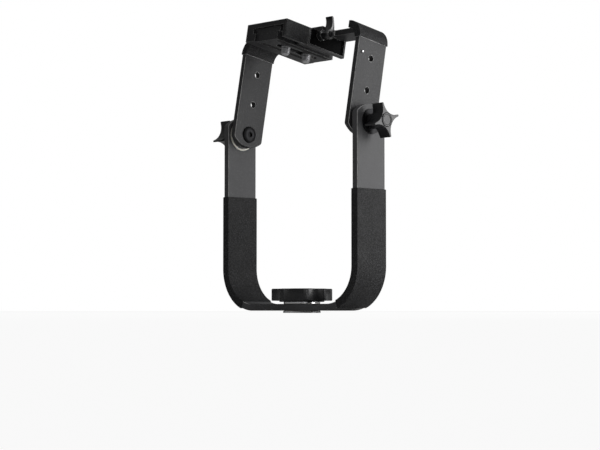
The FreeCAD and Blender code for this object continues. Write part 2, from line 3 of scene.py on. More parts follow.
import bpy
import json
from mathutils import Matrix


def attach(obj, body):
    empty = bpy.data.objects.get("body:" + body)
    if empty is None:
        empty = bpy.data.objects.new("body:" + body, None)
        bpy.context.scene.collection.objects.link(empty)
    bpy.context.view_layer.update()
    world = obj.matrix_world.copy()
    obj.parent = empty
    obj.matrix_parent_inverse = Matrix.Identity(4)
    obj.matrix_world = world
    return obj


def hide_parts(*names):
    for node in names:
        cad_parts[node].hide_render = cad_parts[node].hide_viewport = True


bl_info = {
    "name": "Gimbal tripod head",
    "version": (1, 0, 0),
    "blender": (4, 5, 0),
    "location": "3D View > Sidebar > Gimbal head",
    "description": "Builds the looks of a side-arm gimbal head over its packed frame",
    "category": "Object",
}

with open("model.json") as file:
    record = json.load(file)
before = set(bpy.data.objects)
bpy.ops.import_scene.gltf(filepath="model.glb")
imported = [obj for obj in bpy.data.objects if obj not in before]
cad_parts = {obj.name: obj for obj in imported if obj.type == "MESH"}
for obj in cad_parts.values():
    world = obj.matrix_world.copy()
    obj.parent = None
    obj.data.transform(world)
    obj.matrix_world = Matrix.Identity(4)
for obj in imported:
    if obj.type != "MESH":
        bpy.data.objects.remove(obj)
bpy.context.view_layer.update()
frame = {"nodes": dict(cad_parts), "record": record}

import json
import math

import bmesh
import bpy
from bpy.props import FloatProperty, FloatVectorProperty, IntProperty, PointerProperty
from mathutils import Matrix, Vector

MM = 0.001

# Places and sizes shared with the solids, in millimetres
PIVOT_HEIGHT = 196.0
CRADLE_TILT = 10.3
CRADLE_TOP = 105.0
CROSSBAR_LOW = 99.0
CRADLE_OUTER = 91.7
CRADLE_INNER = 85.7
CRADLE_BEND = 18.0
YOKE_HALF = 103.9
YOKE_THICKNESS = 7.2
YOKE_BEND = 46.0
BASE_LOW = 2.3
BASE_HIGH = 9.5
COVER_TOP = 126.8
COVER_END_ANGLE = 22.0
BAR_WIDTH = 40.0
COVER_THICKNESS = 0.8
KNOB_LOW = 11.6
KNOB_LOBES_LOW = 12.8
KNOB_HIGH = 25.6
STUD_HIGH = 23.6
STAR_LOW = 105.5
STAR_LOBES_LOW = 112.0
STAR_FACE = 126.5
STAR_INSERT_END = 120.5
HOLE_RADIUS = 3.4
BOLT_RADIUS = 3.0
LEVER_Y = -17.0
LEVER_Z = 95.6
LEVER_HUB_LOW = 34.1
LEVER_FACE = 44.0
LEVER_SHAFT_END = 41.0
PLATE_BOTTOM = 79.4
PLATE_FLANGE_LOW = 88.5
PAD_TOP = 80.3
PAD_FACE = 78.9
PAD_FRONT = -61.0
PAD_BACK = 11.0
PAD_OUTER = 15.7
PAD_WIDTH = 6.0
HOLE_LEVELS = (34.1, 68.2)
CLAMP_SCREWS_X = (-18.0, 18.0)
CLAMP_SCREWS_Y = (-8.0, 12.0)
RIVET_Y = -14.0
RIVET_LEVEL = 72.0
FLOOR_REACH = 6000.0

CRADLE = Matrix.Translation((0, 0, PIVOT_HEIGHT * MM)) @ Matrix.Rotation(math.radians(-CRADLE_TILT), 4, "X")
PIVOT = Matrix.Translation((0, 0, PIVOT_HEIGHT * MM))
ALONG_X = Matrix.Rotation(math.radians(90), 4, "Y")
UPRIGHT = Matrix.Identity(4)
materials = {}


# Sizes and colours a user would change

class StageSettings(bpy.types.PropertyGroup):
    """Camera, lamps and background."""
    azimuth: FloatProperty(
        name="Camera azimuth", description="Turn of the camera round the pan axis", default=math.radians(47.006),
        unit="ROTATION")
    distance: FloatProperty(
        name="Camera distance", description="From the pan axis", default=1.8887, unit="LENGTH")
    height: FloatProperty(
        name="Camera height", description="Above the mounting face", default=0.00252, unit="LENGTH")
    pitch: FloatProperty(
        name="Camera pitch", description="Upward tilt of the camera", default=math.radians(2.755), unit="ROTATION")
    yaw: FloatProperty(
        name="Camera yaw", description="Sideways turn of the camera", default=math.radians(0.0623), unit="ROTATION")
    lens: FloatProperty(
        name="Lens", description="Focal length on a 36 mm frame", default=106.59, unit="CAMERA")
    key_power: FloatProperty(name="Key power", description="Watts of the side lamp", default=2.2, min=0.0)
    fill_power: FloatProperty(name="Fill power", description="Watts of the front lamp", default=2.0, min=0.0)
    top_power: FloatProperty(name="Top power", description="Watts of the lamp overhead", default=6.0, min=0.0)
    ambient: FloatProperty(
        name="Ambient", description="Grey level of the light from all round", default=0.2, min=0.0, max=2.0)


class FinishSettings(bpy.types.PropertyGroup):
    """Colours and grain of the finishes."""
    paint: FloatVectorProperty(
        name="Yoke paint", description="Satin black of the yoke", subtype="COLOR", size=3, min=0.0, max=1.0,
        default=(0.052, 0.052, 0.054))
    crinkle: FloatVectorProperty(
        name="Cradle paint", description="Crinkled black of the cradle", subtype="COLOR", size=3, min=0.0, max=1.0,
        default=(0.023, 0.023, 0.024))
    cover: FloatVectorProperty(
        name="Cover", description="Grained sleeves and skins", subtype="COLOR", size=3, min=0.0, max=1.0,
        default=(0.020, 0.020, 0.021))
    plastic: FloatVectorProperty(
        name="Knob plastic", description="Moulded knobs", subtype="COLOR", size=3, min=0.0, max=1.0,
        default=(0.009, 0.009, 0.010))
    lever: FloatVectorProperty(
        name="Lever paint", description="Gloss black of the clamp lever", subtype="COLOR", size=3, min=0.0, max=1.0,
        default=(0.010, 0.010, 0.011))
    grain: FloatProperty(
        name="Cover grain", description="Width of one pebble of the cover's grain", default=0.0014, unit="LENGTH")
    grain_depth: FloatProperty(
        name="Grain depth", description="Height of the cover's grain", default=0.00028, unit="LENGTH")
    # Edge wear also sets the strength of the painted highlight line along the arm fillets.
    wear: FloatProperty(
        name="Edge wear", description="How much paint is rubbed off along edges", default=0.8, min=0.0, max=1.0,
        subtype="FACTOR")


class KnobSettings(bpy.types.PropertyGroup):
    """The pan knob and the two tilt knobs."""
    pan_radius: FloatProperty(
        name="Pan knob radius", description="Over the ridges", default=0.0323, unit="LENGTH")
    pan_ridges: IntProperty(name="Pan knob ridges", description="Ridges round the rim", default=8, min=3, max=24)
    pan_scallop: FloatProperty(
        name="Pan scallop", description="Depth of the hollows between ridges", default=0.0048, unit="LENGTH")
    pan_round: FloatProperty(
        name="Pan edge round", description="Rounding of the top edge", default=0.0012, unit="LENGTH")
    star_radius: FloatProperty(
        name="Tilt knob radius", description="Over the lobes", default=0.0185, unit="LENGTH")
    star_lobes: IntProperty(name="Tilt knob lobes", description="Lobes of each tilt knob", default=4, min=3, max=8)
    star_scallop: FloatProperty(
        name="Tilt scallop", description="Depth of the hollows between lobes", default=0.0102, unit="LENGTH")
    star_round: FloatProperty(
        name="Tilt edge round", description="Rounding of the lobes' ends", default=0.0006, unit="LENGTH")


class ScrewSettings(bpy.types.PropertyGroup):
    """Threads, knurls and sockets."""
    thread_pitch: FloatProperty(
        name="Thread pitch", description="Sixteen turns to the inch", default=0.0015875, unit="LENGTH")
    thread_radius: FloatProperty(
        name="Thread radius", description="Over the crests of the lens and tripod threads", default=0.00476,
        unit="LENGTH")
    thread_depth: FloatProperty(
        name="Thread depth", description="From crest to root", default=0.00079, unit="LENGTH")
    knurl_count: IntProperty(
        name="Knurl count", description="Ridges round a lens screw's head", default=48, min=8, max=120)
    knurl_depth: FloatProperty(
        name="Knurl depth", description="Height of a knurl ridge", default=0.0003, unit="LENGTH")


class TrimSettings(bpy.types.PropertyGroup):
    """Rubber ribs, cover hems and hole rims."""
    rib_pitch: FloatProperty(
        name="Rib pitch", description="From rib to rib on the rubber pads", default=0.002, unit="LENGTH")
    rib_height: FloatProperty(
        name="Rib height", description="How far a rib stands off its pad", default=0.0005, unit="LENGTH")
    hem_radius: FloatProperty(
        name="Hem radius", description="Radius of the rolled edge of a cover", default=0.00028, unit="LENGTH")
    rim_width: FloatProperty(
        name="Hole rim width", description="Width of the bare chamfer round a pivot hole", default=0.0004,
        unit="LENGTH")


# Making meshes

def new_piece(name, verts, faces, place, smooth=True):
    """A mesh object at the origin, its points given in millimetres and carried by place."""
    mesh = bpy.data.meshes.new(name)
    mesh.from_pydata([tuple(place @ (Vector(point) * MM)) for point in verts], [], faces)
    mesh.validate()
    piece = bpy.data.objects.new(name, mesh)
    bpy.context.scene.collection.objects.link(piece)
    tidy_mesh(mesh, smooth)
    return piece


def tidy_mesh(mesh, smooth=True, corner=math.radians(32)):
    """Merge doubles, turn faces outwards and keep real corners crisp."""
    work = bmesh.new()
    work.from_mesh(mesh)
    bmesh.ops.remove_doubles(work, verts=work.verts, dist=2e-7)
    bmesh.ops.recalc_face_normals(work, faces=work.faces)
    for face in work.faces:
        face.smooth = smooth
    for edge in work.edges:
        if len(edge.link_faces) == 2 and edge.calc_face_angle(0.0) > corner:
            edge.smooth = False
    work.to_mesh(mesh)
    work.free()


def round_rule(angle, radius):
    """A plain circle."""
    return radius


def hexagon_rule(angle, radius):
    """A hexagon whose corners lie on the radius."""
    step = math.radians(60)
    return radius * math.cos(step / 2) / math.cos(angle % step - step / 2)


def scallop_rule(rim, count, first_angle, depth, hollow_radius, softness):
    """A rim cut by round hollows, with its ridges' corners softened."""
    centre = rim - depth + hollow_radius
    step = 2 * math.pi / count

    def rule(angle, radius):
        turn = (angle - first_angle) % step - step / 2
        side = centre * math.sin(turn)
        hollow = rim
        if abs(side) < hollow_radius:
            hollow = centre * math.cos(turn) - math.sqrt(hollow_radius ** 2 - side ** 2)
        blend = max(softness - abs(rim - hollow), 0.0) / softness
        lowest = min(rim, hollow) - blend ** 2 * softness / 4
        return radius - (rim - lowest)
    return rule


def stack_faces(rows, count, closed=False):
    """Faces between rows of points, one loop above another, with both ends capped unless closed."""
    faces = []
    for row in range(rows if closed else rows - 1):
        above = (row + 1) % rows * count
        for index in range(count):
            beside = (index + 1) % count
            faces.append((row * count + index, row * count + beside, above + beside, above + index))
    if not closed:
        faces.append(tuple(range(count)))
        faces.append(tuple((rows - 1) * count + index for index in range(count)))
    return faces


def lofted(name, loops, count, place, closed=False):
    """Skins a stack of loops round an axis; each loop is a rule, a radius and a level."""
    verts = []
    for rule, radius, level in loops:
        for index in range(count):
            angle = 2 * math.pi * index / count
            reach = rule(angle, radius)
            verts.append((reach * math.cos(angle), reach * math.sin(angle), level))
    return new_piece(name, verts, stack_faces(len(loops), count, closed), place)


def arc_loops(rule, radius, level, inward, upward, size, steps=5):
    """Loops of a quarter round that starts at the radius and ends at the level."""
    loops = []
    for step in range(steps + 1):
        angle = math.radians(90) * step / steps
        loops.append((
            rule, radius + inward * size * (1 - math.cos(angle)), level - upward * size * (1 - math.sin(angle))))
    return loops


def joined(name, pieces):
    """Puts several pieces into the first and names the result."""
    work = bmesh.new()
    slots = []
    for piece in pieces:
        first = len(work.faces)
        work.from_mesh(piece.data)
        work.faces.ensure_lookup_table()
        for material in piece.data.materials:
            if material not in slots:
                slots.append(material)
        index = slots.index(piece.data.materials[0]) if piece.data.materials else 0
        for face in work.faces[first:]:
            face.material_index = index
    mesh = bpy.data.meshes.new(name)
    work.to_mesh(mesh)
    work.free()
    for material in slots:
        mesh.materials.append(material)
    for piece in pieces:
        bpy.data.objects.remove(piece)
    result = bpy.data.objects.new(name, mesh)
    bpy.context.scene.collection.objects.link(result)
    return result


def outline_normals(points):
    """The inward direction at each point of an anticlockwise outline."""
    inward = []
    count = len(points)
    for index in range(count):
        before = Vector(points[index - 1])
        after = Vector(points[(index + 1) % count])
        along = (after - before).normalized()
        inward.append(Vector((-along.y, along.x)))
    return inward


def rounded_slab(name, points, low, high, edge_low, edge_high, place, steps=4):
    """A slab across X whose outline lies in YZ, with rounded edges on both faces."""
    inward = outline_normals(points)
    layers = []
    for step in range(steps + 1):
        angle = math.radians(90) * step / steps
        layers.append((edge_low * (1 - math.sin(angle)), low + edge_low * (1 - math.cos(angle))))
    for step in range(steps + 1):
        angle = math.radians(90) * step / steps
        layers.append((edge_high * (1 - math.cos(angle)), high - edge_high * (1 - math.sin(angle))))
    verts = []
    for inset, level in layers:
        for point, normal in zip(points, inward):
            verts.append((level, point[0] + normal.x * inset, point[1] + normal.y * inset))
    return new_piece(name, verts, stack_faces(len(layers), len(points)), place)


def arc_through(start, middle, end, steps):
    """Points of the circle arc through three points, without the last one."""
    ax, ay = start
    bx, by = middle
    cx, cy = end
    scale = 2 * (ax * (by - cy) + bx * (cy - ay) + cx * (ay - by))
    a_square, b_square, c_square = ax * ax + ay * ay, bx * bx + by * by, cx * cx + cy * cy
    centre_x = (a_square * (by - cy) + b_square * (cy - ay) + c_square * (ay - by)) / scale
    centre_y = (a_square * (cx - bx) + b_square * (ax - cx) + c_square * (bx - ax)) / scale
    first = math.atan2(ay - centre_y, ax - centre_x)
    half_way = (math.atan2(by - centre_y, bx - centre_x) - first) % (2 * math.pi)
    last = (math.atan2(cy - centre_y, cx - centre_x) - first) % (2 * math.pi)
    if half_way > last:
        last -= 2 * math.pi
    radius = math.hypot(ax - centre_x, ay - centre_y)
    points = []
    for step in range(steps):
        angle = first + last * step / steps
        points.append((centre_x + radius * math.cos(angle), centre_y + radius * math.sin(angle)))
    return points


# Geometry Nodes trees

def new_tree(name, sizes):
    """An empty Geometry Nodes tree with named inputs; sizes lists label, socket kind and default."""
    tree = bpy.data.node_groups.new(name, "GeometryNodeTree")
    tree.interface.new_socket("Geometry", in_out="INPUT", socket_type="NodeSocketGeometry")
    for label, kind, value in sizes:
        socket = tree.interface.new_socket(label, in_out="INPUT", socket_type="NodeSocket" + kind)
        if value is not None:
            socket.default_value = value
    tree.interface.new_socket("Geometry", in_out="OUTPUT", socket_type="NodeSocketGeometry")
    return tree, tree.nodes.new("NodeGroupInput"), tree.nodes.new("NodeGroupOutput")


def place_node(tree, kind, inputs=None, **choices):
    """Adds a node, sets its choices, and sets or links its inputs."""
    node = tree.nodes.new(kind)
    for name, value in choices.items():
        setattr(node, name, value)
    for name, value in (inputs or {}).items():
        socket = node.inputs[name]
        if isinstance(value, bpy.types.NodeSocket):
            tree.links.new(value, socket)
        else:
            socket.default_value = value
    return node


def finish_tree(tree, group_in, group_out, geometry):
    """Ends a tree in Realize Instances, smooth shading and Set Material."""
    real = place_node(tree, "GeometryNodeRealizeInstances", {"Geometry": geometry})
    shaded = place_node(tree, "GeometryNodeSetShadeSmooth", {
        "Geometry": real.outputs["Geometry"], "Shade Smooth": group_in.outputs["Smooth"]})
    coloured = place_node(tree, "GeometryNodeSetMaterial", {
        "Geometry": shaded.outputs["Geometry"], "Material": group_in.outputs["Material"]})
    tree.links.new(coloured.outputs["Geometry"], group_out.inputs["Geometry"])


def grown(name, tree, values, place, points=((0.0, 0.0, 0.0),)):
    """Runs a tree on a set of points and returns the result as a plain mesh object."""
    seed = bpy.data.meshes.new(name + "_seed")
    seed.from_pydata([tuple(point) for point in points], [], [])
    host = bpy.data.objects.new(name + "_seed", seed)
    bpy.context.scene.collection.objects.link(host)
    modifier = host.modifiers.new("Grow", "NODES")
    modifier.node_group = tree
    for socket in tree.interface.items_tree:
        if socket.item_type == "SOCKET" and socket.in_out == "INPUT" and socket.name in values:
            modifier[socket.identifier] = values[socket.name]
    graph = bpy.context.evaluated_depsgraph_get()
    mesh = bpy.data.meshes.new_from_object(host.evaluated_get(graph))
    host.modifiers.remove(modifier)
    bpy.data.objects.remove(host)
    mesh.name = name
    mesh.transform(place)
    piece = bpy.data.objects.new(name, mesh)
    bpy.context.scene.collection.objects.link(piece)
    tidy_mesh(mesh, values.get("Smooth", True))
    return piece


def helix_tree():
    """A thread: a kite section swept along a spiral."""
    tree, group_in, group_out = new_tree("screw_thread", [
        ("Root Radius", "Float", 0.004), ("Turns", "Float", 5.0), ("Height", "Float", 0.008),
        ("Width", "Float", 0.0015), ("Depth", "Float", 0.0007), ("Resolution", "Int", 40),
        ("Smooth", "Bool", True), ("Material", "Material", None)])
    spiral = place_node(tree, "GeometryNodeCurveSpiral", {
        "Resolution": group_in.outputs["Resolution"], "Rotations": group_in.outputs["Turns"],
        "Start Radius": group_in.outputs["Root Radius"], "End Radius": group_in.outputs["Root Radius"],
        "Height": group_in.outputs["Height"], "Reverse": False})
    steady = place_node(tree, "GeometryNodeSetCurveNormal", {"Curve": spiral.outputs["Curve"]}, mode="Z_UP")
    section = place_node(tree, "GeometryNodeCurvePrimitiveQuadrilateral", {
        "Width": group_in.outputs["Depth"], "Bottom Height": group_in.outputs["Width"],
        "Top Height": group_in.outputs["Width"]}, mode="KITE")
    swept = place_node(tree, "GeometryNodeCurveToMesh", {
        "Curve": steady.outputs["Curve"], "Profile Curve": section.outputs["Curve"], "Fill Caps": True})
    finish_tree(tree, group_in, group_out, swept.outputs["Mesh"])
    return tree


def ring_of_ridges_tree():
    """A knurl: narrow upright ridges stood round a circle."""
    tree, group_in, group_out = new_tree("knurl", [
        ("Radius", "Float", 0.008), ("Count", "Int", 48), ("Ridge", "Vector", (0.0006, 0.0006, 0.002)),
        ("Smooth", "Bool", False), ("Material", "Material", None)])
    circle = place_node(tree, "GeometryNodeMeshCircle", {
        "Vertices": group_in.outputs["Count"], "Radius": group_in.outputs["Radius"]})
    position = place_node(tree, "GeometryNodeInputPosition")
    turned = place_node(tree, "FunctionNodeAlignRotationToVector", {
        "Vector": position.outputs["Position"]}, axis="X", pivot_axis="Z")
    ridge = place_node(tree, "GeometryNodeMeshCylinder", {
        "Vertices": 4, "Side Segments": 1, "Fill Segments": 1, "Radius": 0.5, "Depth": 1.0})
    scattered = place_node(tree, "GeometryNodeInstanceOnPoints", {
        "Points": circle.outputs["Mesh"], "Instance": ridge.outputs["Mesh"],
        "Rotation": turned.outputs["Rotation"], "Scale": group_in.outputs["Ridge"]})
    finish_tree(tree, group_in, group_out, scattered.outputs["Instances"])
    return tree


def rib_row_tree():
    """A row of low ribs with sloping sides."""
    tree, group_in, group_out = new_tree("rib_row", [
        ("Count", "Int", 30), ("Step", "Vector", (0.0, 0.002, 0.0)), ("Rib", "Vector", (0.006, 0.0014, 0.0005)),
        ("Smooth", "Bool", False), ("Material", "Material", None)])
    line = place_node(tree, "GeometryNodeMeshLine", {
        "Count": group_in.outputs["Count"], "Offset": group_in.outputs["Step"]})
    rib = place_node(tree, "GeometryNodeMeshCone", {
        "Vertices": 4, "Side Segments": 2, "Fill Segments": 1, "Radius Top": 0.45, "Radius Bottom": 0.7071,
        "Depth": 1.0})
    square = place_node(tree, "GeometryNodeTransform", {
        "Geometry": rib.outputs["Mesh"], "Rotation": (0.0, 0.0, math.radians(45))})
    scattered = place_node(tree, "GeometryNodeInstanceOnPoints", {
        "Points": line.outputs["Mesh"], "Instance": square.outputs["Geometry"],
        "Scale": group_in.outputs["Rib"]})
    finish_tree(tree, group_in, group_out, scattered.outputs["Instances"])
    return tree


def hem_tree():
    """A round bead that runs along a rectangle with rounded corners."""
    tree, group_in, group_out = new_tree("hem", [
        ("Width", "Float", 0.01), ("Depth", "Float", 0.04), ("Corner", "Float", 0.001), ("Bead", "Float", 0.0004),
        ("Smooth", "Bool", True), ("Material", "Material", None)])
    path = place_node(tree, "GeometryNodeCurvePrimitiveQuadrilateral", {
        "Width": group_in.outputs["Width"], "Height": group_in.outputs["Depth"]}, mode="RECTANGLE")
    soft = place_node(tree, "GeometryNodeFilletCurve", {
        "Curve": path.outputs["Curve"], "Count": 6, "Radius": group_in.outputs["Corner"]}, mode="POLY")
    section = place_node(tree, "GeometryNodeCurvePrimitiveCircle", {
        "Resolution": 10, "Radius": group_in.outputs["Bead"]}, mode="RADIUS")
    swept = place_node(tree, "GeometryNodeCurveToMesh", {
        "Curve": soft.outputs["Curve"], "Profile Curve": section.outputs["Curve"]})
    finish_tree(tree, group_in, group_out, swept.outputs["Mesh"])
    return tree


def washer_rows_tree():
    """A low bevelled ring stood on every point, facing along X."""
    tree, group_in, group_out = new_tree("hole_rims", [
        ("Radius", "Float", 0.0045), ("Rim", "Float", 0.0002), ("Smooth", "Bool", True),
        ("Material", "Material", None)])
    circle = place_node(tree, "GeometryNodeCurvePrimitiveCircle", {
        "Resolution": 64, "Radius": group_in.outputs["Radius"]}, mode="RADIUS")
    section = place_node(tree, "GeometryNodeCurvePrimitiveCircle", {
        "Resolution": 8, "Radius": group_in.outputs["Rim"]}, mode="RADIUS")
    ring = place_node(tree, "GeometryNodeCurveToMesh", {
        "Curve": circle.outputs["Curve"], "Profile Curve": section.outputs["Curve"]})
    facing = place_node(tree, "GeometryNodeTransform", {
        "Geometry": ring.outputs["Mesh"], "Rotation": (0.0, math.radians(90), 0.0)})
    scattered = place_node(tree, "GeometryNodeInstanceOnPoints", {
        "Points": group_in.outputs["Geometry"], "Instance": facing.outputs["Geometry"]})
    finish_tree(tree, group_in, group_out, scattered.outputs["Instances"])
    return tree


def stud_tree():
    """A low domed head stood on every point, facing along X."""
    tree, group_in, group_out = new_tree("rivets", [
        ("Radius", "Float", 0.0012), ("Height", "Float", 0.0003), ("Length", "Float", 0.002),
        ("Smooth", "Bool", True), ("Material", "Material", None)])
    ball = place_node(tree, "GeometryNodeMeshUVSphere", {"Segments": 32, "Rings": 16, "Radius": 1.0})
    shape = place_node(tree, "ShaderNodeCombineXYZ", {
        "X": group_in.outputs["Height"], "Y": group_in.outputs["Radius"], "Z": group_in.outputs["Radius"]})
    dome = place_node(tree, "GeometryNodeTransform", {
        "Geometry": ball.outputs["Mesh"], "Scale": shape.outputs["Vector"]})
    shank = place_node(tree, "GeometryNodeMeshCylinder", {
        "Vertices": 32, "Radius": group_in.outputs["Radius"], "Depth": group_in.outputs["Length"]})
    lying = place_node(tree, "GeometryNodeTransform", {
        "Geometry": shank.outputs["Mesh"], "Rotation": (0.0, math.radians(90), 0.0),
        "Scale": (0.98, 0.98, 1.0)})
    both = tree.nodes.new("GeometryNodeJoinGeometry")
    tree.links.new(dome.outputs["Geometry"], both.inputs["Geometry"])
    tree.links.new(lying.outputs["Geometry"], both.inputs["Geometry"])
    scattered = place_node(tree, "GeometryNodeInstanceOnPoints", {
        "Points": group_in.outputs["Geometry"], "Instance": both.outputs["Geometry"]})
    finish_tree(tree, group_in, group_out, scattered.outputs["Instances"])
    return tree


# Shader helpers

def new_finish(name):
    """A fresh material with its tree, its surface shader and object coordinates."""
    material = bpy.data.materials.new(name)
    material.use_nodes = True
    tree = material.node_tree
    shader = tree.nodes["Principled BSDF"]
    where = place_node(tree, "ShaderNodeTexCoord").outputs["Object"]
    materials[name] = material
    return tree, shader, where


def settle(shader, colour=None, **values):
    """Sets plain values on the shader's own sockets."""
    if colour is not None:
        shader.inputs["Base Color"].default_value = (*colour, 1.0)
    for name, value in values.items():
        shader.inputs[name.replace("_", " ")].default_value = value


def noise(tree, where, size, detail=2.0, roughness=0.5):
    """Cloudy pattern whose lumps are about one size, in metres."""
    node = place_node(tree, "ShaderNodeTexNoise", {
        "Vector": where, "Scale": 1.0 / size, "Detail": detail, "Roughness": roughness})
    return node.outputs["Fac"]


def cells(tree, where, size, smooth=0.6):
    """Pebble pattern, high between the pebbles."""
    node = place_node(tree, "ShaderNodeTexVoronoi", {
        "Vector": where, "Scale": 1.0 / size, "Smoothness": smooth}, feature="SMOOTH_F1")
    return node.outputs["Distance"]


def spread(tree, value, low, high, start, end):
    """Maps a range onto another and clamps it."""
    node = place_node(tree, "ShaderNodeMapRange", {
        "Value": value, "From Min": low, "From Max": high, "To Min": start, "To Max": end})
    return node.outputs["Result"]


def sums(tree, operation, first, second):
    """One sum of two values."""
    node = tree.nodes.new("ShaderNodeMath")
    node.operation = operation
    for socket, value in zip(node.inputs, (first, second)):
        if isinstance(value, bpy.types.NodeSocket):
            tree.links.new(value, socket)
        else:
            socket.default_value = value
    return node.outputs["Value"]


def tint(tree, factor, first, second):
    """Mixes two colours by a factor; each colour is a triple or a socket."""
    node = tree.nodes.new("ShaderNodeMix")
    node.data_type = "RGBA"
    colour_inputs = [socket for socket in node.inputs if socket.type == "RGBA"]
    for socket, value in zip(colour_inputs, (first, second)):
        if isinstance(value, bpy.types.NodeSocket):
            tree.links.new(value, socket)
        else:
            socket.default_value = (*value, 1.0)
    tree.links.new(factor, node.inputs[0])
    return next(socket for socket in node.outputs if socket.type == "RGBA")


def relief(tree, height, depth, strength=1.0, below=None):
    """Turns a height pattern into a surface normal."""
    inputs = {"Height": height, "Distance": depth, "Strength": strength}
    if below is not None:
        inputs["Normal"] = below
    return place_node(tree, "ShaderNodeBump", inputs).outputs["Normal"]


def soft_edge(tree, radius):
    """A normal that rounds every edge a little."""
    return place_node(tree, "ShaderNodeBevel", {"Radius": radius}, samples=4).outputs["Normal"]


def edge_mask(tree, rounded, low=0.90, high=0.995):
    """One near an edge and nought on a flat."""
    flat = place_node(tree, "ShaderNodeNewGeometry").outputs["Normal"]
    node = tree.nodes.new("ShaderNodeVectorMath")
    node.operation = "DOT_PRODUCT"
    tree.links.new(rounded, node.inputs[0])
    tree.links.new(flat, node.inputs[1])
    return spread(tree, node.outputs["Value"], low, high, 1.0, 0.0)


def own_normal(tree):
    """The surface's direction in the object's own axes."""
    normal = place_node(tree, "ShaderNodeTexCoord").outputs["Normal"]
    size = place_node(tree, "ShaderNodeVectorMath", {0: normal}, operation="ABSOLUTE")
    return place_node(tree, "ShaderNodeSeparateXYZ", {"Vector": size.outputs["Vector"]}).outputs


def fillet_highlight_mask(tree):
    """One on the rounded edges that run along the arms of the flat bar, where a painted highlight line goes."""
    facing = own_normal(tree)
    leaving = spread(tree, facing["Y"], 0.22, 0.40, 0.0, 1.0)
    before = spread(tree, facing["Y"], 0.86, 0.95, 1.0, 0.0)
    across = spread(tree, facing["X"], 0.20, 0.35, 0.0, 1.0)
    return sums(tree, "MULTIPLY", sums(tree, "MULTIPLY", leaving, before), across)


def pocket_shade_mask(tree, where):
    """One on the recessed floors at the clamp's sides, where painted shade goes."""
    size = place_node(tree, "ShaderNodeVectorMath", {0: where}, operation="ABSOLUTE").outputs["Vector"]
    aside = place_node(tree, "ShaderNodeSeparateXYZ", {"Vector": size}).outputs["X"]
    beyond = spread(tree, aside, 0.0278, 0.0279, 0.0, 1.0)
    before = spread(tree, aside, 0.0292, 0.0293, 1.0, 0.0)
    facing = spread(tree, own_normal(tree)["X"], 0.85, 0.95, 0.0, 1.0)
    return sums(tree, "MULTIPLY", sums(tree, "MULTIPLY", beyond, before), facing)


def scaled(colour, factor):
    """A lighter or darker colour."""
    return tuple(channel * factor for channel in colour)


def make_paint(name, colour, size, depth, speckle, settings, pocket=False):
    """Black paint with its own grain, faint dust, rubbed edges that also carry a painted highlight line along the
    arms' fillets, and, on the clamp, painted shade on the pocket floors.
    """
    tree, shader, where = new_finish(name)
    rounded = soft_edge(tree, 0.0004)
    peel = noise(tree, where, size, 3.0, 0.6)
    broad = noise(tree, where, 0.035, 3.0)
    broken = spread(tree, noise(tree, where, 0.0025, 5.0, 0.7), 0.34, 0.56, 0.35, 1.0)
    # Rubbed paint on every edge, plus a painted highlight line along the arms' fillets; both lighten toward the
    # pale grey below.
    edges = sums(tree, "MAXIMUM", edge_mask(tree, rounded), fillet_highlight_mask(tree))
    worn = sums(tree, "MULTIPLY", sums(tree, "MULTIPLY", edges, broken), settings.wear)
    dust = spread(tree, noise(tree, where, size * 0.7, 1.0), 0.58, 0.72, 0.0, 1.0)
    base = tint(tree, spread(tree, broad, 0.3, 0.7, 0.0, 1.0), scaled(colour, 0.85), scaled(colour, 1.2))
    dusty = tint(tree, dust, base, scaled(colour, speckle))
    if pocket:
        # Painted shade: the pocket floors are darkened to 0.15 of the paint colour and their specular is turned
        # down.
        pocket_shade = pocket_shade_mask(tree, where)
        dusty = tint(tree, pocket_shade, dusty, scaled(colour, 0.15))
        tree.links.new(spread(tree, pocket_shade, 0.0, 1.0, 0.24, 0.02), shader.inputs["Specular IOR Level"])
    tree.links.new(tint(tree, worn, dusty, (0.44, 0.435, 0.43)), shader.inputs["Base Color"])
    satin = spread(tree, broad, 0.25, 0.75, 0.42, 0.52)
    tree.links.new(sums(tree, "SUBTRACT", satin, sums(tree, "MULTIPLY", worn, 0.12)), shader.inputs["Roughness"])
    tree.links.new(relief(tree, peel, depth, 0.7, rounded), shader.inputs["Normal"])
    settle(shader, Specular_IOR_Level=0.24)


def make_cover(settings):
    """Grained black covering, pebbled and matt, with painted highlight on the pebble tops and painted shade in the
    hollows between them, and the tops lighter still in patches where it is handled.
    """
    tree, shader, where = new_finish("cover")
    rounded = soft_edge(tree, 0.0005)
    pebbles = cells(tree, where, settings.grain)
    fine = noise(tree, where, settings.grain / 3, 2.0)
    height = sums(tree, "SUBTRACT", sums(tree, "MULTIPLY", fine, 0.35), pebbles)
    broad = noise(tree, where, 0.022, 4.0, 0.6)
    # Painted highlight and shade: the pebble tops are lightened and the hollows between pebbles darkened.
    lit_pebble_tops = spread(tree, pebbles, 0.10, 0.55, 1.0, 0.0)
    base = tint(tree, lit_pebble_tops, scaled(settings.cover, 0.35), scaled(settings.cover, 1.5))
    rubbed = sums(tree, "MULTIPLY", spread(tree, broad, 0.50, 0.75, 0.0, 0.6), lit_pebble_tops)
    tree.links.new(tint(tree, rubbed, base, scaled(settings.cover, 3.4)), shader.inputs["Base Color"])
    tree.links.new(spread(tree, broad, 0.3, 0.7, 0.56, 0.68), shader.inputs["Roughness"])
    tree.links.new(relief(tree, height, settings.grain_depth, 0.75, rounded), shader.inputs["Normal"])
    settle(shader, Specular_IOR_Level=0.2)


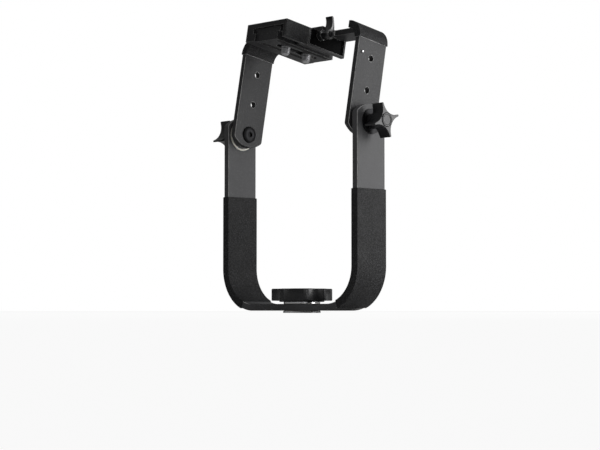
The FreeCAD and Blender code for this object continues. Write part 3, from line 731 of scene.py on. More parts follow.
def make_plastic(settings):
    """Moulded black nylon with a fine spark-eroded grain."""
    tree, shader, where = new_finish("knob_plastic")
    rounded = soft_edge(tree, 0.0004)
    grain = noise(tree, where, 0.00035, 2.0, 0.6)
    flow = noise(tree, where, 0.012, 3.0, 0.55)
    scuffs = spread(tree, noise(tree, where, 0.004, 6.0, 0.75), 0.60, 0.72, 0.0, 1.0)
    polished = sums(tree, "MULTIPLY", scuffs, edge_mask(tree, rounded, 0.80, 0.99))
    base = tint(tree, spread(tree, flow, 0.3, 0.7, 0.0, 1.0), scaled(settings.plastic, 0.8),
                scaled(settings.plastic, 1.25))
    tree.links.new(tint(tree, polished, base, (0.07, 0.07, 0.07)), shader.inputs["Base Color"])
    tree.links.new(spread(tree, flow, 0.3, 0.7, 0.28, 0.36), shader.inputs["Roughness"])
    tree.links.new(relief(tree, grain, 0.00003, 0.5, rounded), shader.inputs["Normal"])
    settle(shader, Specular_IOR_Level=0.36)


def make_lever_paint(settings):
    """Gloss black paint over a casting, worn on its edges."""
    tree, shader, where = new_finish("lever_paint")
    rounded = soft_edge(tree, 0.0004)
    lumps = noise(tree, where, 0.003, 2.0)
    broken = spread(tree, noise(tree, where, 0.0015, 5.0, 0.7), 0.45, 0.6, 0.0, 1.0)
    worn = sums(tree, "MULTIPLY", edge_mask(tree, rounded), broken)
    base = tint(tree, spread(tree, lumps, 0.3, 0.7, 0.0, 1.0), scaled(settings.lever, 0.8),
                scaled(settings.lever, 1.2))
    tree.links.new(tint(tree, worn, base, (0.14, 0.135, 0.13)), shader.inputs["Base Color"])
    tree.links.new(spread(tree, lumps, 0.3, 0.7, 0.26, 0.34), shader.inputs["Roughness"])
    tree.links.new(relief(tree, lumps, 0.00005, 0.5, rounded), shader.inputs["Normal"])
    settle(shader, Specular_IOR_Level=0.5, Coat_Weight=0.25, Coat_Roughness=0.2)


def make_turned(name, colour, roughness, centre, turn, groove=0.00025, wear=0.3, metal=1.0):
    """Metal turned on a lathe: fine rings round an axis through a centre."""
    tree, shader, where = new_finish(name)
    local = place_node(tree, "ShaderNodeMapping", {
        "Vector": where, "Location": centre, "Rotation": turn}, vector_type="TEXTURE").outputs["Vector"]
    flat = place_node(tree, "ShaderNodeVectorMath", {0: local, 1: (1.0, 1.0, 0.0)}, operation="MULTIPLY")
    reach = place_node(tree, "ShaderNodeVectorMath", {0: flat.outputs["Vector"]}, operation="LENGTH")
    along = place_node(tree, "ShaderNodeSeparateXYZ", {"Vector": local})
    row = place_node(tree, "ShaderNodeCombineXYZ", {"X": reach.outputs["Value"], "Z": along.outputs["Z"]})
    rings = noise(tree, row.outputs["Vector"], groove, 3.0, 0.6)
    rounded = soft_edge(tree, 0.0003)
    blotch = noise(tree, where, 0.006, 4.0, 0.65)
    dull = sums(tree, "MULTIPLY", spread(tree, blotch, 0.5, 0.75, 0.0, 1.0), wear)
    base = tint(tree, spread(tree, rings, 0.3, 0.7, 0.0, 1.0), scaled(colour, 0.88), colour)
    tree.links.new(tint(tree, dull, base, scaled(colour, 0.6)), shader.inputs["Base Color"])
    streaks = spread(tree, rings, 0.3, 0.7, roughness * 0.8, roughness * 1.2)
    tree.links.new(sums(tree, "ADD", streaks, sums(tree, "MULTIPLY", dull, 0.2)), shader.inputs["Roughness"])
    tree.links.new(relief(tree, rings, 0.00001, 0.6, rounded), shader.inputs["Normal"])
    settle(shader, Metallic=metal)


def make_nylon():
    """Natural nylon of the bushings and friction washers."""
    tree, shader, where = new_finish("nylon")
    cloud = noise(tree, where, 0.004, 4.0)
    fine = noise(tree, where, 0.0004, 2.0)
    stain = spread(tree, cloud, 0.45, 0.8, 0.0, 0.6)
    tree.links.new(tint(tree, stain, (0.74, 0.72, 0.64), (0.52, 0.48, 0.40)), shader.inputs["Base Color"])
    tree.links.new(spread(tree, cloud, 0.3, 0.7, 0.42, 0.55), shader.inputs["Roughness"])
    tree.links.new(relief(tree, fine, 0.00002, 0.4, soft_edge(tree, 0.0002)), shader.inputs["Normal"])
    settle(shader, Subsurface_Weight=0.05)


def make_rubber():
    """Matt black rubber with a patchy bloom."""
    tree, shader, where = new_finish("pad_rubber")
    cloud = noise(tree, where, 0.003, 5.0, 0.65)
    fine = noise(tree, where, 0.0003, 3.0, 0.7)
    bloom = spread(tree, cloud, 0.45, 0.75, 0.0, 0.7)
    tree.links.new(tint(tree, bloom, (0.016, 0.016, 0.016), (0.045, 0.044, 0.042)), shader.inputs["Base Color"])
    tree.links.new(spread(tree, cloud, 0.3, 0.7, 0.72, 0.86), shader.inputs["Roughness"])
    tree.links.new(relief(tree, fine, 0.00004, 0.6, soft_edge(tree, 0.0002)), shader.inputs["Normal"])
    settle(shader, Specular_IOR_Level=0.3)


def make_bare_edge_and_highlight():
    """Bare alloy that shows where a chamfer has lost its paint; on the corner covers' lower hems its pale grey is a
    painted highlight line.
    """
    tree, shader, where = new_finish("bare_edge_and_highlight")
    broken = spread(tree, noise(tree, where, 0.0008, 5.0, 0.7), 0.38, 0.62, 0.0, 1.0)
    tree.links.new(tint(tree, broken, (0.10, 0.10, 0.10), (0.42, 0.42, 0.42)), shader.inputs["Base Color"])
    tree.links.new(spread(tree, broken, 0.0, 1.0, 0.55, 0.38), shader.inputs["Roughness"])
    tree.links.new(relief(tree, broken, 0.00002, 0.4), shader.inputs["Normal"])
    settle(shader, Metallic=0.6)


def make_floor():
    """Pale floor that reads as the white background and keeps the object's shadow."""
    tree, shader, where = new_finish("floor")
    settle(shader, (0.86, 0.86, 0.86), Roughness=0.9, Specular_IOR_Level=0.1)
    mottle = noise(tree, where, 0.4, 2.0)
    tree.links.new(tint(tree, mottle, (0.85, 0.85, 0.85), (0.87, 0.87, 0.87)), shader.inputs["Base Color"])
    seen = seen_share(tree)
    glow = place_node(tree, "ShaderNodeEmission", {"Color": (1.0, 1.0, 1.0, 1.0), "Strength": 1.0})
    mixed = place_node(tree, "ShaderNodeMixShader", {0: sums(tree, "MULTIPLY", seen, 0.93)})
    tree.links.new(shader.outputs["BSDF"], mixed.inputs[1])
    tree.links.new(glow.outputs["Emission"], mixed.inputs[2])
    tree.links.new(mixed.outputs["Shader"], tree.nodes["Material Output"].inputs["Surface"])


def seen_share(tree):
    """One for rays that show the background and nought for rays that light the object."""
    path = place_node(tree, "ShaderNodeLightPath")
    return sums(tree, "MAXIMUM", path.outputs["Is Camera Ray"], path.outputs["Is Transmission Ray"])


# Operators

class GIMBAL_OT_stage(bpy.types.Operator):
    """Pale floor, soft lamps, white surround and the camera."""
    bl_idname = "gimbal.stage"
    bl_label = "Stage"

    def execute(self, context):
        settings = context.scene.gimbal_stage
        make_floor()
        far = FLOOR_REACH
        corners = [(-far, -far, 0), (far, -far, 0), (far, far, 0), (-far, far, 0)]
        floor = new_piece("floor", corners, [(0, 1, 2, 3)], UPRIGHT, False)
        floor.data.materials.append(materials["floor"])
        add_lamp("key", (0.42, 0.28, 0.24), 0.20, 0.50, settings.key_power)
        add_lamp("fill", (1.20, -0.56, 0.45), 0.45, 0.7, settings.fill_power)
        add_lamp("top", (0.25, 0.15, 1.5), 0.9, 0.9, settings.top_power)
        add_surround(context.scene, settings.ambient)
        add_camera(context.scene, settings)
        context.scene.view_settings.view_transform = "Standard"
        return {"FINISHED"}


def add_lamp(name, place, width, height, power):
    """A soft lamp that faces the middle of the object."""
    lamp = bpy.data.lights.new(name, "AREA")
    lamp.shape = "RECTANGLE"
    lamp.size = width
    lamp.size_y = height
    lamp.energy = power
    holder = bpy.data.objects.new(name, lamp)
    holder.location = place
    aim = Vector((0.0, 0.0, 0.16)) - Vector(place)
    holder.rotation_euler = aim.to_track_quat("-Z", "Y").to_euler()
    holder.visible_camera = False
    bpy.context.scene.collection.objects.link(holder)


def add_surround(scene, ambient):
    """A world that lights softly and shows as white."""
    world = bpy.data.worlds.new("surround")
    world.use_nodes = True
    tree = world.node_tree
    background = tree.nodes["Background"]
    level = spread(tree, seen_share(tree), 0.0, 1.0, ambient, 1.0)
    tree.links.new(level, background.inputs["Color"])
    background.inputs["Strength"].default_value = 1.0
    scene.world = world


def add_camera(scene, settings):
    """A camera at the fitted place, looking level across the mounting face and slightly up."""
    lens = bpy.data.cameras.new("camera")
    lens.sensor_width = 36.0
    lens.lens = settings.lens
    lens.clip_start = 0.001
    lens.clip_end = 40.0
    camera = bpy.data.objects.new("camera", lens)
    camera.location = (
        settings.distance * math.sin(settings.azimuth), -settings.distance * math.cos(settings.azimuth),
        settings.height)
    camera.rotation_euler = (math.radians(90) + settings.pitch, 0.0, settings.azimuth + settings.yaw)
    scene.collection.objects.link(camera)
    scene.camera = camera


class GIMBAL_OT_finishes(bpy.types.Operator):
    """Makes every material and gives the carried-over solids theirs."""
    bl_idname = "gimbal.finishes"
    bl_label = "Finishes"

    def execute(self, context):
        settings = context.scene.gimbal_finish
        tilt = (math.radians(-CRADLE_TILT), 0.0, 0.0)
        across = (0.0, math.radians(90), 0.0)
        pivot = (0.0, 0.0, PIVOT_HEIGHT * MM)
        lever = tuple(CRADLE @ Vector((0.0, LEVER_Y * MM, LEVER_Z * MM)))
        bare = settings.paint
        crinkle = settings.crinkle
        make_paint("black_paint", bare, 0.0014, 0.00010, 1.5, settings)
        make_paint("cradle_paint", crinkle, 0.0017, 0.00026, 2.6, settings)
        make_paint("clamp_paint", scaled(crinkle, 0.6), 0.0014, 0.00012, 2.0, settings, True)
        make_cover(settings)
        make_plastic(settings)
        make_lever_paint(settings)
        make_turned("turned_metal", (0.86, 0.86, 0.87), 0.30, (0.0, 0.0, 0.0), (0.0, 0.0, 0.0), metal=0.45)
        make_turned("steel", (0.66, 0.66, 0.67), 0.20, (0.0, 0.0, 0.0), (0.0, 0.0, 0.0), 0.0004)
        make_turned("cross_steel", (0.64, 0.64, 0.65), 0.22, lever, across, 0.0004)
        make_turned("tilted_steel", (0.40, 0.40, 0.41), 0.30, pivot, tilt, 0.0004)
        make_turned("black_steel", (0.020, 0.020, 0.021), 0.46, pivot, across, 0.0004, 0.5)
        make_turned("brass", (0.72, 0.52, 0.24), 0.26, (0.0, 0.0, 0.0), (0.0, 0.0, 0.0), 0.0004)
        make_turned("cross_brass", (0.72, 0.52, 0.24), 0.26, pivot, across, 0.0004)
        make_nylon()
        make_rubber()
        make_bare_edge_and_highlight()
        own = {"cradle_bar": "cradle_paint", "clamp_body": "clamp_paint", "slide_plate": "cradle_paint",
               "lever_shaft": "cross_steel", "lever_washer": "cross_steel", "arm_rivets": "tilted_steel",
               "star_knob_insert_right": "cross_brass", "star_knob_insert_left": "cross_brass"}
        for part in frame["record"]["subparts"]:
            name = part["node"]
            coat = materials[own.get(name, part["material_slot"])]
            node = frame["nodes"][name]
            for slot in node.material_slots:
                slot.material = coat
        return {"FINISHED"}


def coat(piece, material):
    """Gives a piece one material."""
    piece.data.materials.clear()
    piece.data.materials.append(materials[material])
    return piece


def carried(piece, body, slot, *nodes):
    """Puts a piece on its body and hides the solids it stands in for."""
    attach(piece, body)
    if nodes:
        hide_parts(*nodes)
    return piece


class GIMBAL_OT_pan_knob(bpy.types.Operator):
    """Eight-ridged pan knob with rounded edges, and its dished cap."""
    bl_idname = "gimbal.pan_knob"
    bl_label = "Pan knob"

    def execute(self, context):
        settings = context.scene.gimbal_knobs
        rim = settings.pan_radius / MM
        edge = settings.pan_round / MM
        rule = scallop_rule(rim, settings.pan_ridges, math.radians(7.0), settings.pan_scallop / MM, 21.0, 0.35)
        loops = [(round_rule, 9.5, KNOB_LOW), (round_rule, 23.4, KNOB_LOW), (round_rule, 24.0, KNOB_LOW + 0.5),
                 (round_rule, 24.0, KNOB_LOBES_LOW)]
        loops += [(rule, rim - 0.8, KNOB_LOBES_LOW), (rule, rim - 0.25, KNOB_LOBES_LOW + 0.25),
                  (rule, rim, KNOB_LOBES_LOW + 0.8)]
        loops += arc_loops(rule, rim, KNOB_HIGH, -1, 1, edge, 6)
        loops += [(rule, rim - 2.6, KNOB_HIGH), (round_rule, 21.0, KNOB_HIGH - 0.12), (round_rule, 18.4, KNOB_HIGH),
                  (round_rule, 15.7, KNOB_HIGH), (round_rule, 15.15, KNOB_HIGH - 0.3),
                  (round_rule, 15.1, KNOB_HIGH - 0.9), (round_rule, 6.1, KNOB_HIGH - 0.9),
                  (round_rule, 6.1, STUD_HIGH), (round_rule, 9.5, STUD_HIGH)]
        knob = coat(lofted("pan_knob_body", loops, 480, UPRIGHT, True), "knob_plastic")
        carried(knob, "pan_knob", "knob_plastic", "pan_knob")
        low = KNOB_HIGH - 0.9
        cap_loops = [(round_rule, 14.9, low), (round_rule, 14.9, low + 0.5), (round_rule, 14.6, low + 1.0),
                     (round_rule, 13.9, low + 1.2), (round_rule, 13.0, low + 1.12), (round_rule, 12.4, low + 0.75),
                     (round_rule, 11.8, low + 0.7), (round_rule, 8.0, low + 0.85), (round_rule, 3.0, low + 0.95),
                     (round_rule, 0.6, low + 0.97)]
        cap = coat(lofted("pan_knob_plug", cap_loops, 96, UPRIGHT), "knob_plastic")
        carried(cap, "pan_knob", "knob_plastic", "pan_knob_cap")
        return {"FINISHED"}


class GIMBAL_OT_star_knobs(bpy.types.Operator):
    """The two four-lobed tilt knobs and their caps."""
    bl_idname = "gimbal.star_knobs"
    bl_label = "Tilt knobs"

    def execute(self, context):
        settings = context.scene.gimbal_knobs
        rim = settings.star_radius / MM
        edge = settings.star_round / MM
        rule = scallop_rule(
            rim, settings.star_lobes, math.radians(18.5), settings.star_scallop / MM, 16.5, 1.3)
        loops = [(round_rule, 6.2, STAR_LOW), (round_rule, 7.6, STAR_LOW), (round_rule, 8.0, STAR_LOW + 0.4),
                 (round_rule, 8.0, STAR_LOBES_LOW)]
        loops += [(rule, rim - 0.4, STAR_LOBES_LOW), (rule, rim, STAR_LOBES_LOW + 0.5)]
        loops += arc_loops(rule, rim, STAR_FACE, -1, 1, edge, 4)
        loops += [(rule, rim - edge - 0.3, STAR_FACE), (round_rule, 7.45, STAR_FACE - 0.05),
                  (round_rule, 7.3, STAR_FACE - 0.3), (round_rule, 7.25, STAR_FACE - 0.9),
                  (round_rule, BOLT_RADIUS, STAR_FACE - 0.9), (round_rule, BOLT_RADIUS, STAR_INSERT_END),
                  (round_rule, 6.2, STAR_INSERT_END)]
        low = STAR_FACE - 0.9
        cap_loops = [(round_rule, 7.1, low), (round_rule, 7.1, low + 0.9), (round_rule, 6.8, low + 1.3),
                     (round_rule, 6.2, low + 1.5), (round_rule, 5.5, low + 1.45), (round_rule, 5.0, low + 1.1),
                     (round_rule, 3.0, low + 1.2), (round_rule, 0.5, low + 1.25)]
        for side, end in (("right", 1), ("left", -1)):
            place = PIVOT @ Matrix.Diagonal((end, 1, 1, 1)) @ ALONG_X
            body = "star_knob_" + side
            knob = coat(lofted(body + "_body", loops, 320, place, True), "knob_plastic")
            carried(knob, body, "knob_plastic", body)
            plug = coat(lofted(body + "_plug", cap_loops, 64, place), "knob_plastic")
            carried(plug, body, "knob_plastic", "star_knob_cap_" + side)
        return {"FINISHED"}


class GIMBAL_OT_lever(bpy.types.Operator):
    """The clamp's swept lever with its hub, and the screw that holds it."""
    bl_idname = "gimbal.lever"
    bl_label = "Clamp lever"

    def execute(self, context):
        radius, reach, half_tip, half_waist = 5.6, 19.6, 1.5, 1.65
        tip_y, tip_z = LEVER_Y - 0.2, LEVER_Z + reach
        waist_y, waist_z = LEVER_Y + 1.9, LEVER_Z + 0.6 * reach
        start = (LEVER_Y - radius, LEVER_Z)
        end = (LEVER_Y + radius, LEVER_Z)
        tip_front = (tip_y - half_tip, tip_z - half_tip / 2)
        tip_back = (tip_y + half_tip, tip_z - half_tip / 2)
        outline = arc_through(start, (LEVER_Y, LEVER_Z - radius), end, 32)
        outline += arc_through(end, (waist_y + half_waist, waist_z), tip_back, 24)
        outline += arc_through(tip_back, (tip_y, tip_z), tip_front, 12)
        outline += arc_through(tip_front, (waist_y - half_waist, waist_z), start, 24)
        blade = rounded_slab("lever_blade", outline, LEVER_HUB_LOW, LEVER_FACE, 0.6, 0.7, CRADLE)
        hub_place = CRADLE @ Matrix.Translation((0, LEVER_Y * MM, LEVER_Z * MM)) @ ALONG_X
        ring_loops = [(round_rule, 4.6, LEVER_FACE - 0.4), (round_rule, 4.6, LEVER_FACE + 0.1),
                      (round_rule, 4.35, LEVER_FACE + 0.3), (round_rule, 3.75, LEVER_FACE + 0.3),
                      (round_rule, 3.5, LEVER_FACE + 0.1), (round_rule, 3.5, LEVER_FACE - 0.4)]
        ring = lofted("lever_ring", ring_loops, 64, hub_place, True)
        lever = joined("clamp_lever_body", [coat(blade, "lever_paint"), coat(ring, "lever_paint")])
        carried(lever, "lever", "lever_paint", "clamp_lever")
        face = LEVER_FACE
        screw_loops = [(round_rule, 1.6, LEVER_SHAFT_END), (round_rule, 1.6, face), (round_rule, 3.1, face),
                       (round_rule, 3.2, face + 0.2), (round_rule, 3.0, face + 0.8), (round_rule, 2.5, face + 1.1),
                       (round_rule, 1.8, face + 1.2), (hexagon_rule, 1.45, face + 1.18),
                       (hexagon_rule, 1.4, face + 0.4), (hexagon_rule, 0.3, face + 0.3)]
        screw = coat(lofted("lever_screw_body", screw_loops, 96, hub_place), "black_steel")
        carried(screw, "lever", "black_steel", "lever_screw")
        return {"FINISHED"}


class GIMBAL_OT_clamp_screws(bpy.types.Operator):
    """Four countersunk socket screws in the crossbar, and the two pivot bolts' heads."""
    bl_idname = "gimbal.clamp_screws"
    bl_label = "Clamp screws and pivot bolts"

    def execute(self, context):
        loops = [(round_rule, 2.5, CROSSBAR_LOW - 4.5), (round_rule, 2.5, CRADLE_TOP - 2.1),
                 (round_rule, 4.5, CRADLE_TOP - 0.1), (round_rule, 4.45, CRADLE_TOP),
                 (round_rule, 2.2, CRADLE_TOP - 0.02), (hexagon_rule, 1.75, CRADLE_TOP - 0.15),
                 (hexagon_rule, 1.7, CRADLE_TOP - 1.6), (hexagon_rule, 0.3, CRADLE_TOP - 1.9)]
        screws = []
        for x in CLAMP_SCREWS_X:
            for y in CLAMP_SCREWS_Y:
                place = CRADLE @ Matrix.Translation((x * MM, y * MM, 0))
                screws.append(coat(lofted("screw", loops, 72, place), "black_steel"))
        carried(joined("clamp_screw_heads", screws), "cradle", "black_steel", "clamp_screws")
        bolt_loops = [(hexagon_rule, 0.4, CRADLE_INNER - 0.4), (hexagon_rule, 2.9, CRADLE_INNER - 0.5),
                      (hexagon_rule, 2.95, CRADLE_INNER - 2.8), (round_rule, 3.9, CRADLE_INNER - 3.0),
                      (round_rule, 5.4, CRADLE_INNER - 2.96), (round_rule, 7.0, CRADLE_INNER - 2.6),
                      (round_rule, 8.3, CRADLE_INNER - 1.9), (round_rule, 8.9, CRADLE_INNER - 1.0),
                      (round_rule, 9.0, CRADLE_INNER - 0.3), (round_rule, 8.8, CRADLE_INNER),
                      (round_rule, HOLE_RADIUS - 0.05, CRADLE_INNER),
                      (round_rule, HOLE_RADIUS - 0.05, CRADLE_OUTER), (round_rule, BOLT_RADIUS, CRADLE_OUTER),
                      (round_rule, BOLT_RADIUS, STAR_INSERT_END)]
        for side, end in (("right", 1), ("left", -1)):
            place = CRADLE @ Matrix.Diagonal((end, 1, 1, 1)) @ ALONG_X
            bolt = coat(lofted("pivot_bolt_body_" + side, bolt_loops, 96, place), "black_steel")
            carried(bolt, "cradle", "black_steel", "pivot_bolt_" + side)
        return {"FINISHED"}


class GIMBAL_OT_lens_screws(bpy.types.Operator):
    """The two lens screws: knurled and slotted heads with threaded shanks."""
    bl_idname = "gimbal.lens_screws"
    bl_label = "Lens screws"

    def execute(self, context):
        settings = context.scene.gimbal_screws
        root = (settings.thread_radius - settings.thread_depth) / MM
        crest = settings.thread_radius / MM
        tip = PLATE_BOTTOM - 8.0
        head_low, head_high = PLATE_FLANGE_LOW, PLATE_FLANGE_LOW + 3.0
        helix = helix_tree()
        knurl = ring_of_ridges_tree()
        turns = 6.4 / (settings.thread_pitch / MM)
        for end, y in (("front", -38.0), ("rear", -8.0)):
            place = CRADLE @ Matrix.Translation((0, y * MM, 0))
            loops = [(round_rule, root - 0.9, tip), (round_rule, root, tip + 0.8),
                     (round_rule, root, PLATE_BOTTOM - 0.5), (round_rule, crest, PLATE_BOTTOM),
                     (round_rule, 5.0, PLATE_BOTTOM + 0.2), (round_rule, 5.0, head_low),
                     (round_rule, 7.5, head_low), (round_rule, 7.7, head_low + 0.2),
                     (round_rule, 7.7, head_high - 0.4), (round_rule, 7.3, head_high), (round_rule, 0.4, head_high)]
            body = lofted("body", loops, 96, place)
            cut_slot(body, place, head_high)
            thread = grown("thread", helix, {
                "Root Radius": root * MM, "Turns": turns, "Height": 6.4 * MM, "Width": settings.thread_pitch * 0.47,
                "Depth": settings.thread_depth * 2, "Resolution": 40, "Smooth": False},
                place @ Matrix.Translation((0, 0, (tip + 0.9) * MM)))
            ridges = grown("ridges", knurl, {
                "Radius": 7.7 * MM, "Count": settings.knurl_count, "Smooth": False,
                "Ridge": (settings.knurl_depth * 2, 0.7 * MM, 2.2 * MM)},
                place @ Matrix.Translation((0, 0, (head_low + 1.45) * MM)))
            parts = [coat(piece, "tilted_steel") for piece in (body, thread, ridges)]
            node = "lens_screw_" + end
            carried(joined(node + "_body", parts), node, "steel", node)
        return {"FINISHED"}


def cut_slot(piece, place, level):
    """Cuts a coin slot across the head of a screw."""
    cutter = new_piece("cutter", [
        (x, y, z) for x in (-9, 9) for y in (-0.8, 0.8) for z in (level - 1.5, level + 2)],
        [(0, 1, 3, 2), (4, 6, 7, 5), (0, 4, 5, 1), (2, 3, 7, 6), (0, 2, 6, 4), (1, 5, 7, 3)], place, False)
    modifier = piece.modifiers.new("Slot", "BOOLEAN")
    modifier.operation = "DIFFERENCE"
    modifier.object = cutter
    modifier.solver = "EXACT"
    graph = bpy.context.evaluated_depsgraph_get()
    mesh = bpy.data.meshes.new_from_object(piece.evaluated_get(graph))
    piece.modifiers.remove(modifier)
    piece.data = mesh
    bpy.data.objects.remove(cutter)
    tidy_mesh(mesh)


class GIMBAL_OT_spindle(bpy.types.Operator):
    """The turned mounting spindle with a chamfered disc and a threaded socket."""
    bl_idname = "gimbal.spindle"
    bl_label = "Mounting spindle"

    def execute(self, context):
        settings = context.scene.gimbal_screws
        wall = settings.thread_radius / MM
        loops = [(round_rule, wall + 0.5, 0.0), (round_rule, 13.0, 0.0), (round_rule, 13.2, 0.15),
                 (round_rule, 14.0, 0.15), (round_rule, 14.2, 0.0), (round_rule, 19.7, 0.0),
                 (round_rule, 20.0, 0.3), (round_rule, 20.0, 1.6), (round_rule, 19.7, 1.9), (round_rule, 10.0, 1.9),
                 (round_rule, 10.0, BASE_HIGH), (round_rule, 6.0, BASE_HIGH), (round_rule, 6.0, STUD_HIGH - 0.8),
                 (round_rule, 5.3, STUD_HIGH), (round_rule, 0.5, STUD_HIGH), (round_rule, 0.5, 9.6),
                 (round_rule, wall, 9.0), (round_rule, wall, 0.5)]
        body = lofted("body", loops, 160, UPRIGHT, True)
        turns = 7.6 / (settings.thread_pitch / MM)
        thread = grown("thread", helix_tree(), {
            "Root Radius": settings.thread_radius, "Turns": turns, "Height": 7.6 * MM,
            "Width": settings.thread_pitch * 0.47, "Depth": settings.thread_depth * 2, "Resolution": 40,
            "Smooth": False}, Matrix.Translation((0, 0, 0.9 * MM)))
        parts = [coat(body, "turned_metal"), coat(thread, "turned_metal")]
        carried(joined("mount_spindle_body", parts), "mount", "turned_metal", "mount_spindle")
        return {"FINISHED"}


class GIMBAL_OT_pads(bpy.types.Operator):
    """Ribbed rubber strips under the sliding plate."""
    bl_idname = "gimbal.pads"
    bl_label = "Rubber pads"

    def execute(self, context):
        settings = context.scene.gimbal_trim
        pitch = settings.rib_pitch / MM
        height = settings.rib_height / MM
        front, back = PAD_FRONT, PAD_BACK
        ribs = rib_row_tree()
        count = int((back - front - 1.0) / pitch)
        strips = []
        for x_low, x_high in ((-PAD_OUTER, -PAD_OUTER + PAD_WIDTH), (PAD_OUTER - PAD_WIDTH, PAD_OUTER)):
            corners = [(x_low, front), (x_high, front), (x_high, back), (x_low, back)]
            low = PAD_FACE + height
            verts = [(x, y, z) for z in (low, PAD_TOP) for x, y in corners]
            faces = [(0, 1, 2, 3), (4, 5, 6, 7)] + [(i, (i + 1) % 4, (i + 1) % 4 + 4, i + 4) for i in range(4)]
            strips.append(new_piece("strip", verts, faces, CRADLE, False))
            first = (front + back - (count - 1) * pitch) / 2
            place = CRADLE @ Matrix.Translation(Vector(((x_low + x_high) / 2, first, low)) * MM)
            turned = place @ Matrix.Rotation(math.radians(180), 4, "Y")
            strips.append(grown("ribs", ribs, {
                "Count": count, "Step": (0.0, settings.rib_pitch, 0.0),
                "Rib": (5.8 * MM, settings.rib_pitch * 0.7, settings.rib_height), "Smooth": False}, turned))
        for strip in strips:
            coat(strip, "pad_rubber")
        carried(joined("plate_pad_strips", strips), "plate", "pad_rubber", "plate_pads")
        return {"FINISHED"}


class GIMBAL_OT_trim(bpy.types.Operator):
    """Rolled hems of the covers, bare rims of the spare holes and the arm rivets."""
    bl_idname = "gimbal.trim"
    bl_label = "Hems, rims and rivets"

    def execute(self, context):
        settings = context.scene.gimbal_trim
        hem_covers(settings)
        rim_holes(settings)
        stand_rivets()
        return {"FINISHED"}


def hem_covers(settings):
    """A bead along both ends of each cover."""
    tree = hem_tree()
    bead = settings.hem_radius

    def hem(thickness, place, finish="cover"):
        sizes = {"Width": (thickness + COVER_THICKNESS) * MM, "Depth": (BAR_WIDTH + COVER_THICKNESS) * MM,
                 "Corner": 0.9 * MM, "Bead": bead, "Smooth": True}
        return coat(grown("hem", tree, sizes, place), finish)

    yoke_hems = []
    cradle_hems = []
    for end in (-1, 1):
        middle = end * (YOKE_HALF - YOKE_THICKNESS / 2)
        yoke_hems.append(hem(YOKE_THICKNESS, Matrix.Translation(Vector((middle, 0, COVER_TOP)) * MM)))
        centre = Vector((end * (YOKE_HALF - YOKE_BEND), 0, BASE_LOW + YOKE_BEND))
        swing = Matrix.Rotation(math.radians(end * (90 - COVER_END_ANGLE)), 4, "Y")
        reach = Matrix.Translation(Vector((end * (YOKE_BEND - YOKE_THICKNESS / 2), 0, 0)) * MM)
        yoke_hems.append(hem(YOKE_THICKNESS, Matrix.Translation(centre * MM) @ swing @ reach))
        arm = Vector((end * (CRADLE_OUTER + CRADLE_INNER) / 2, 0, CRADLE_TOP - CRADLE_BEND))
        # Painted highlight: the lower hem of each corner cover takes the pale bare-alloy finish to stand for a line
        # of light along the cover's edge.
        cradle_hems.append(hem(6.0, CRADLE @ Matrix.Translation(arm * MM), "bare_edge_and_highlight"))
        bar = Vector((end * (CRADLE_OUTER - CRADLE_BEND), 0, (CRADLE_TOP + CROSSBAR_LOW) / 2))
        cradle_hems.append(hem(6.0, CRADLE @ Matrix.Translation(bar * MM) @ ALONG_X))
    carried(joined("yoke_cover_hems", yoke_hems), "yoke", "cover")
    carried(joined("corner_cover_hems", cradle_hems), "cradle", "cover")


def rim_holes(settings):
    """Thin bare rings where the spare pivot holes break the arms' faces."""
    points = []
    for end in (-1, 1):
        for face in (CRADLE_OUTER, CRADLE_INNER):
            for level in HOLE_LEVELS:
                points.append(Vector((end * face, 0, level)) * MM)
    rims = grown("hole_rims", washer_rows_tree(), {
        "Radius": HOLE_RADIUS * MM + settings.rim_width / 2, "Rim": settings.rim_width / 2, "Smooth": True},
        CRADLE, points)
    carried(coat(rims, "bare_edge_and_highlight"), "cradle", "black_paint")


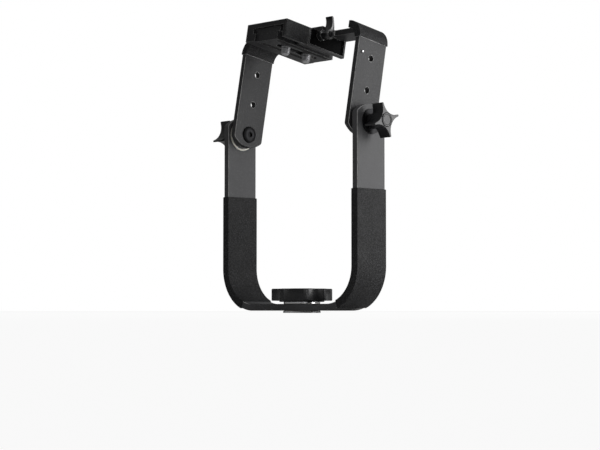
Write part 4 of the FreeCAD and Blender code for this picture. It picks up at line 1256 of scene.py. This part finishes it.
def stand_rivets():
    """One domed rivet near the front edge of each arm."""
    points = [Vector((end * CRADLE_OUTER, RIVET_Y, RIVET_LEVEL)) * MM for end in (-1, 1)]
    rivets = grown("arm_rivet_heads", stud_tree(), {
        "Radius": 1.0 * MM, "Height": 0.25 * MM, "Length": 3.6 * MM, "Smooth": True}, CRADLE, points)
    carried(coat(rivets, "tilted_steel"), "cradle", "steel", "arm_rivets")


class GIMBAL_PT_panel(bpy.types.Panel):
    """Lists the pieces in the sidebar."""
    bl_idname = "GIMBAL_PT_panel"
    bl_label = "Gimbal tripod head"
    bl_space_type = "VIEW_3D"
    bl_region_type = "UI"
    bl_category = "Gimbal head"

    def draw(self, context):
        for group in GROUPS:
            box = self.layout.box()
            box.label(text=group.__doc__)
            settings = getattr(context.scene, "gimbal_" + GROUPS[group])
            for name in group.__annotations__:
                box.prop(settings, name)
        for operator in OPERATORS:
            self.layout.operator(operator.bl_idname)


GROUPS = {
    StageSettings: "stage",
    FinishSettings: "finish",
    KnobSettings: "knobs",
    ScrewSettings: "screws",
    TrimSettings: "trim",
}
OPERATORS = (
    GIMBAL_OT_stage,
    GIMBAL_OT_finishes,
    GIMBAL_OT_spindle,
    GIMBAL_OT_pan_knob,
    GIMBAL_OT_star_knobs,
    GIMBAL_OT_lever,
    GIMBAL_OT_clamp_screws,
    GIMBAL_OT_lens_screws,
    GIMBAL_OT_pads,
    GIMBAL_OT_trim,
)


def register():
    """Adds the settings, operators and panel."""
    for group, name in GROUPS.items():
        bpy.utils.register_class(group)
        setattr(bpy.types.Scene, "gimbal_" + name, PointerProperty(type=group))
    for operator in OPERATORS:
        bpy.utils.register_class(operator)
    bpy.utils.register_class(GIMBAL_PT_panel)


def unregister():
    """Takes the settings, operators and panel away."""
    bpy.utils.unregister_class(GIMBAL_PT_panel)
    for operator in reversed(OPERATORS):
        bpy.utils.unregister_class(operator)
    for group, name in reversed(GROUPS.items()):
        delattr(bpy.types.Scene, "gimbal_" + name)
        bpy.utils.unregister_class(group)


def main():
    """Builds the whole head."""
    register()
    for operator in OPERATORS:
        group, name = operator.bl_idname.split(".")
        getattr(getattr(bpy.ops, group), name)()


if __name__ == "__main__":
    main()
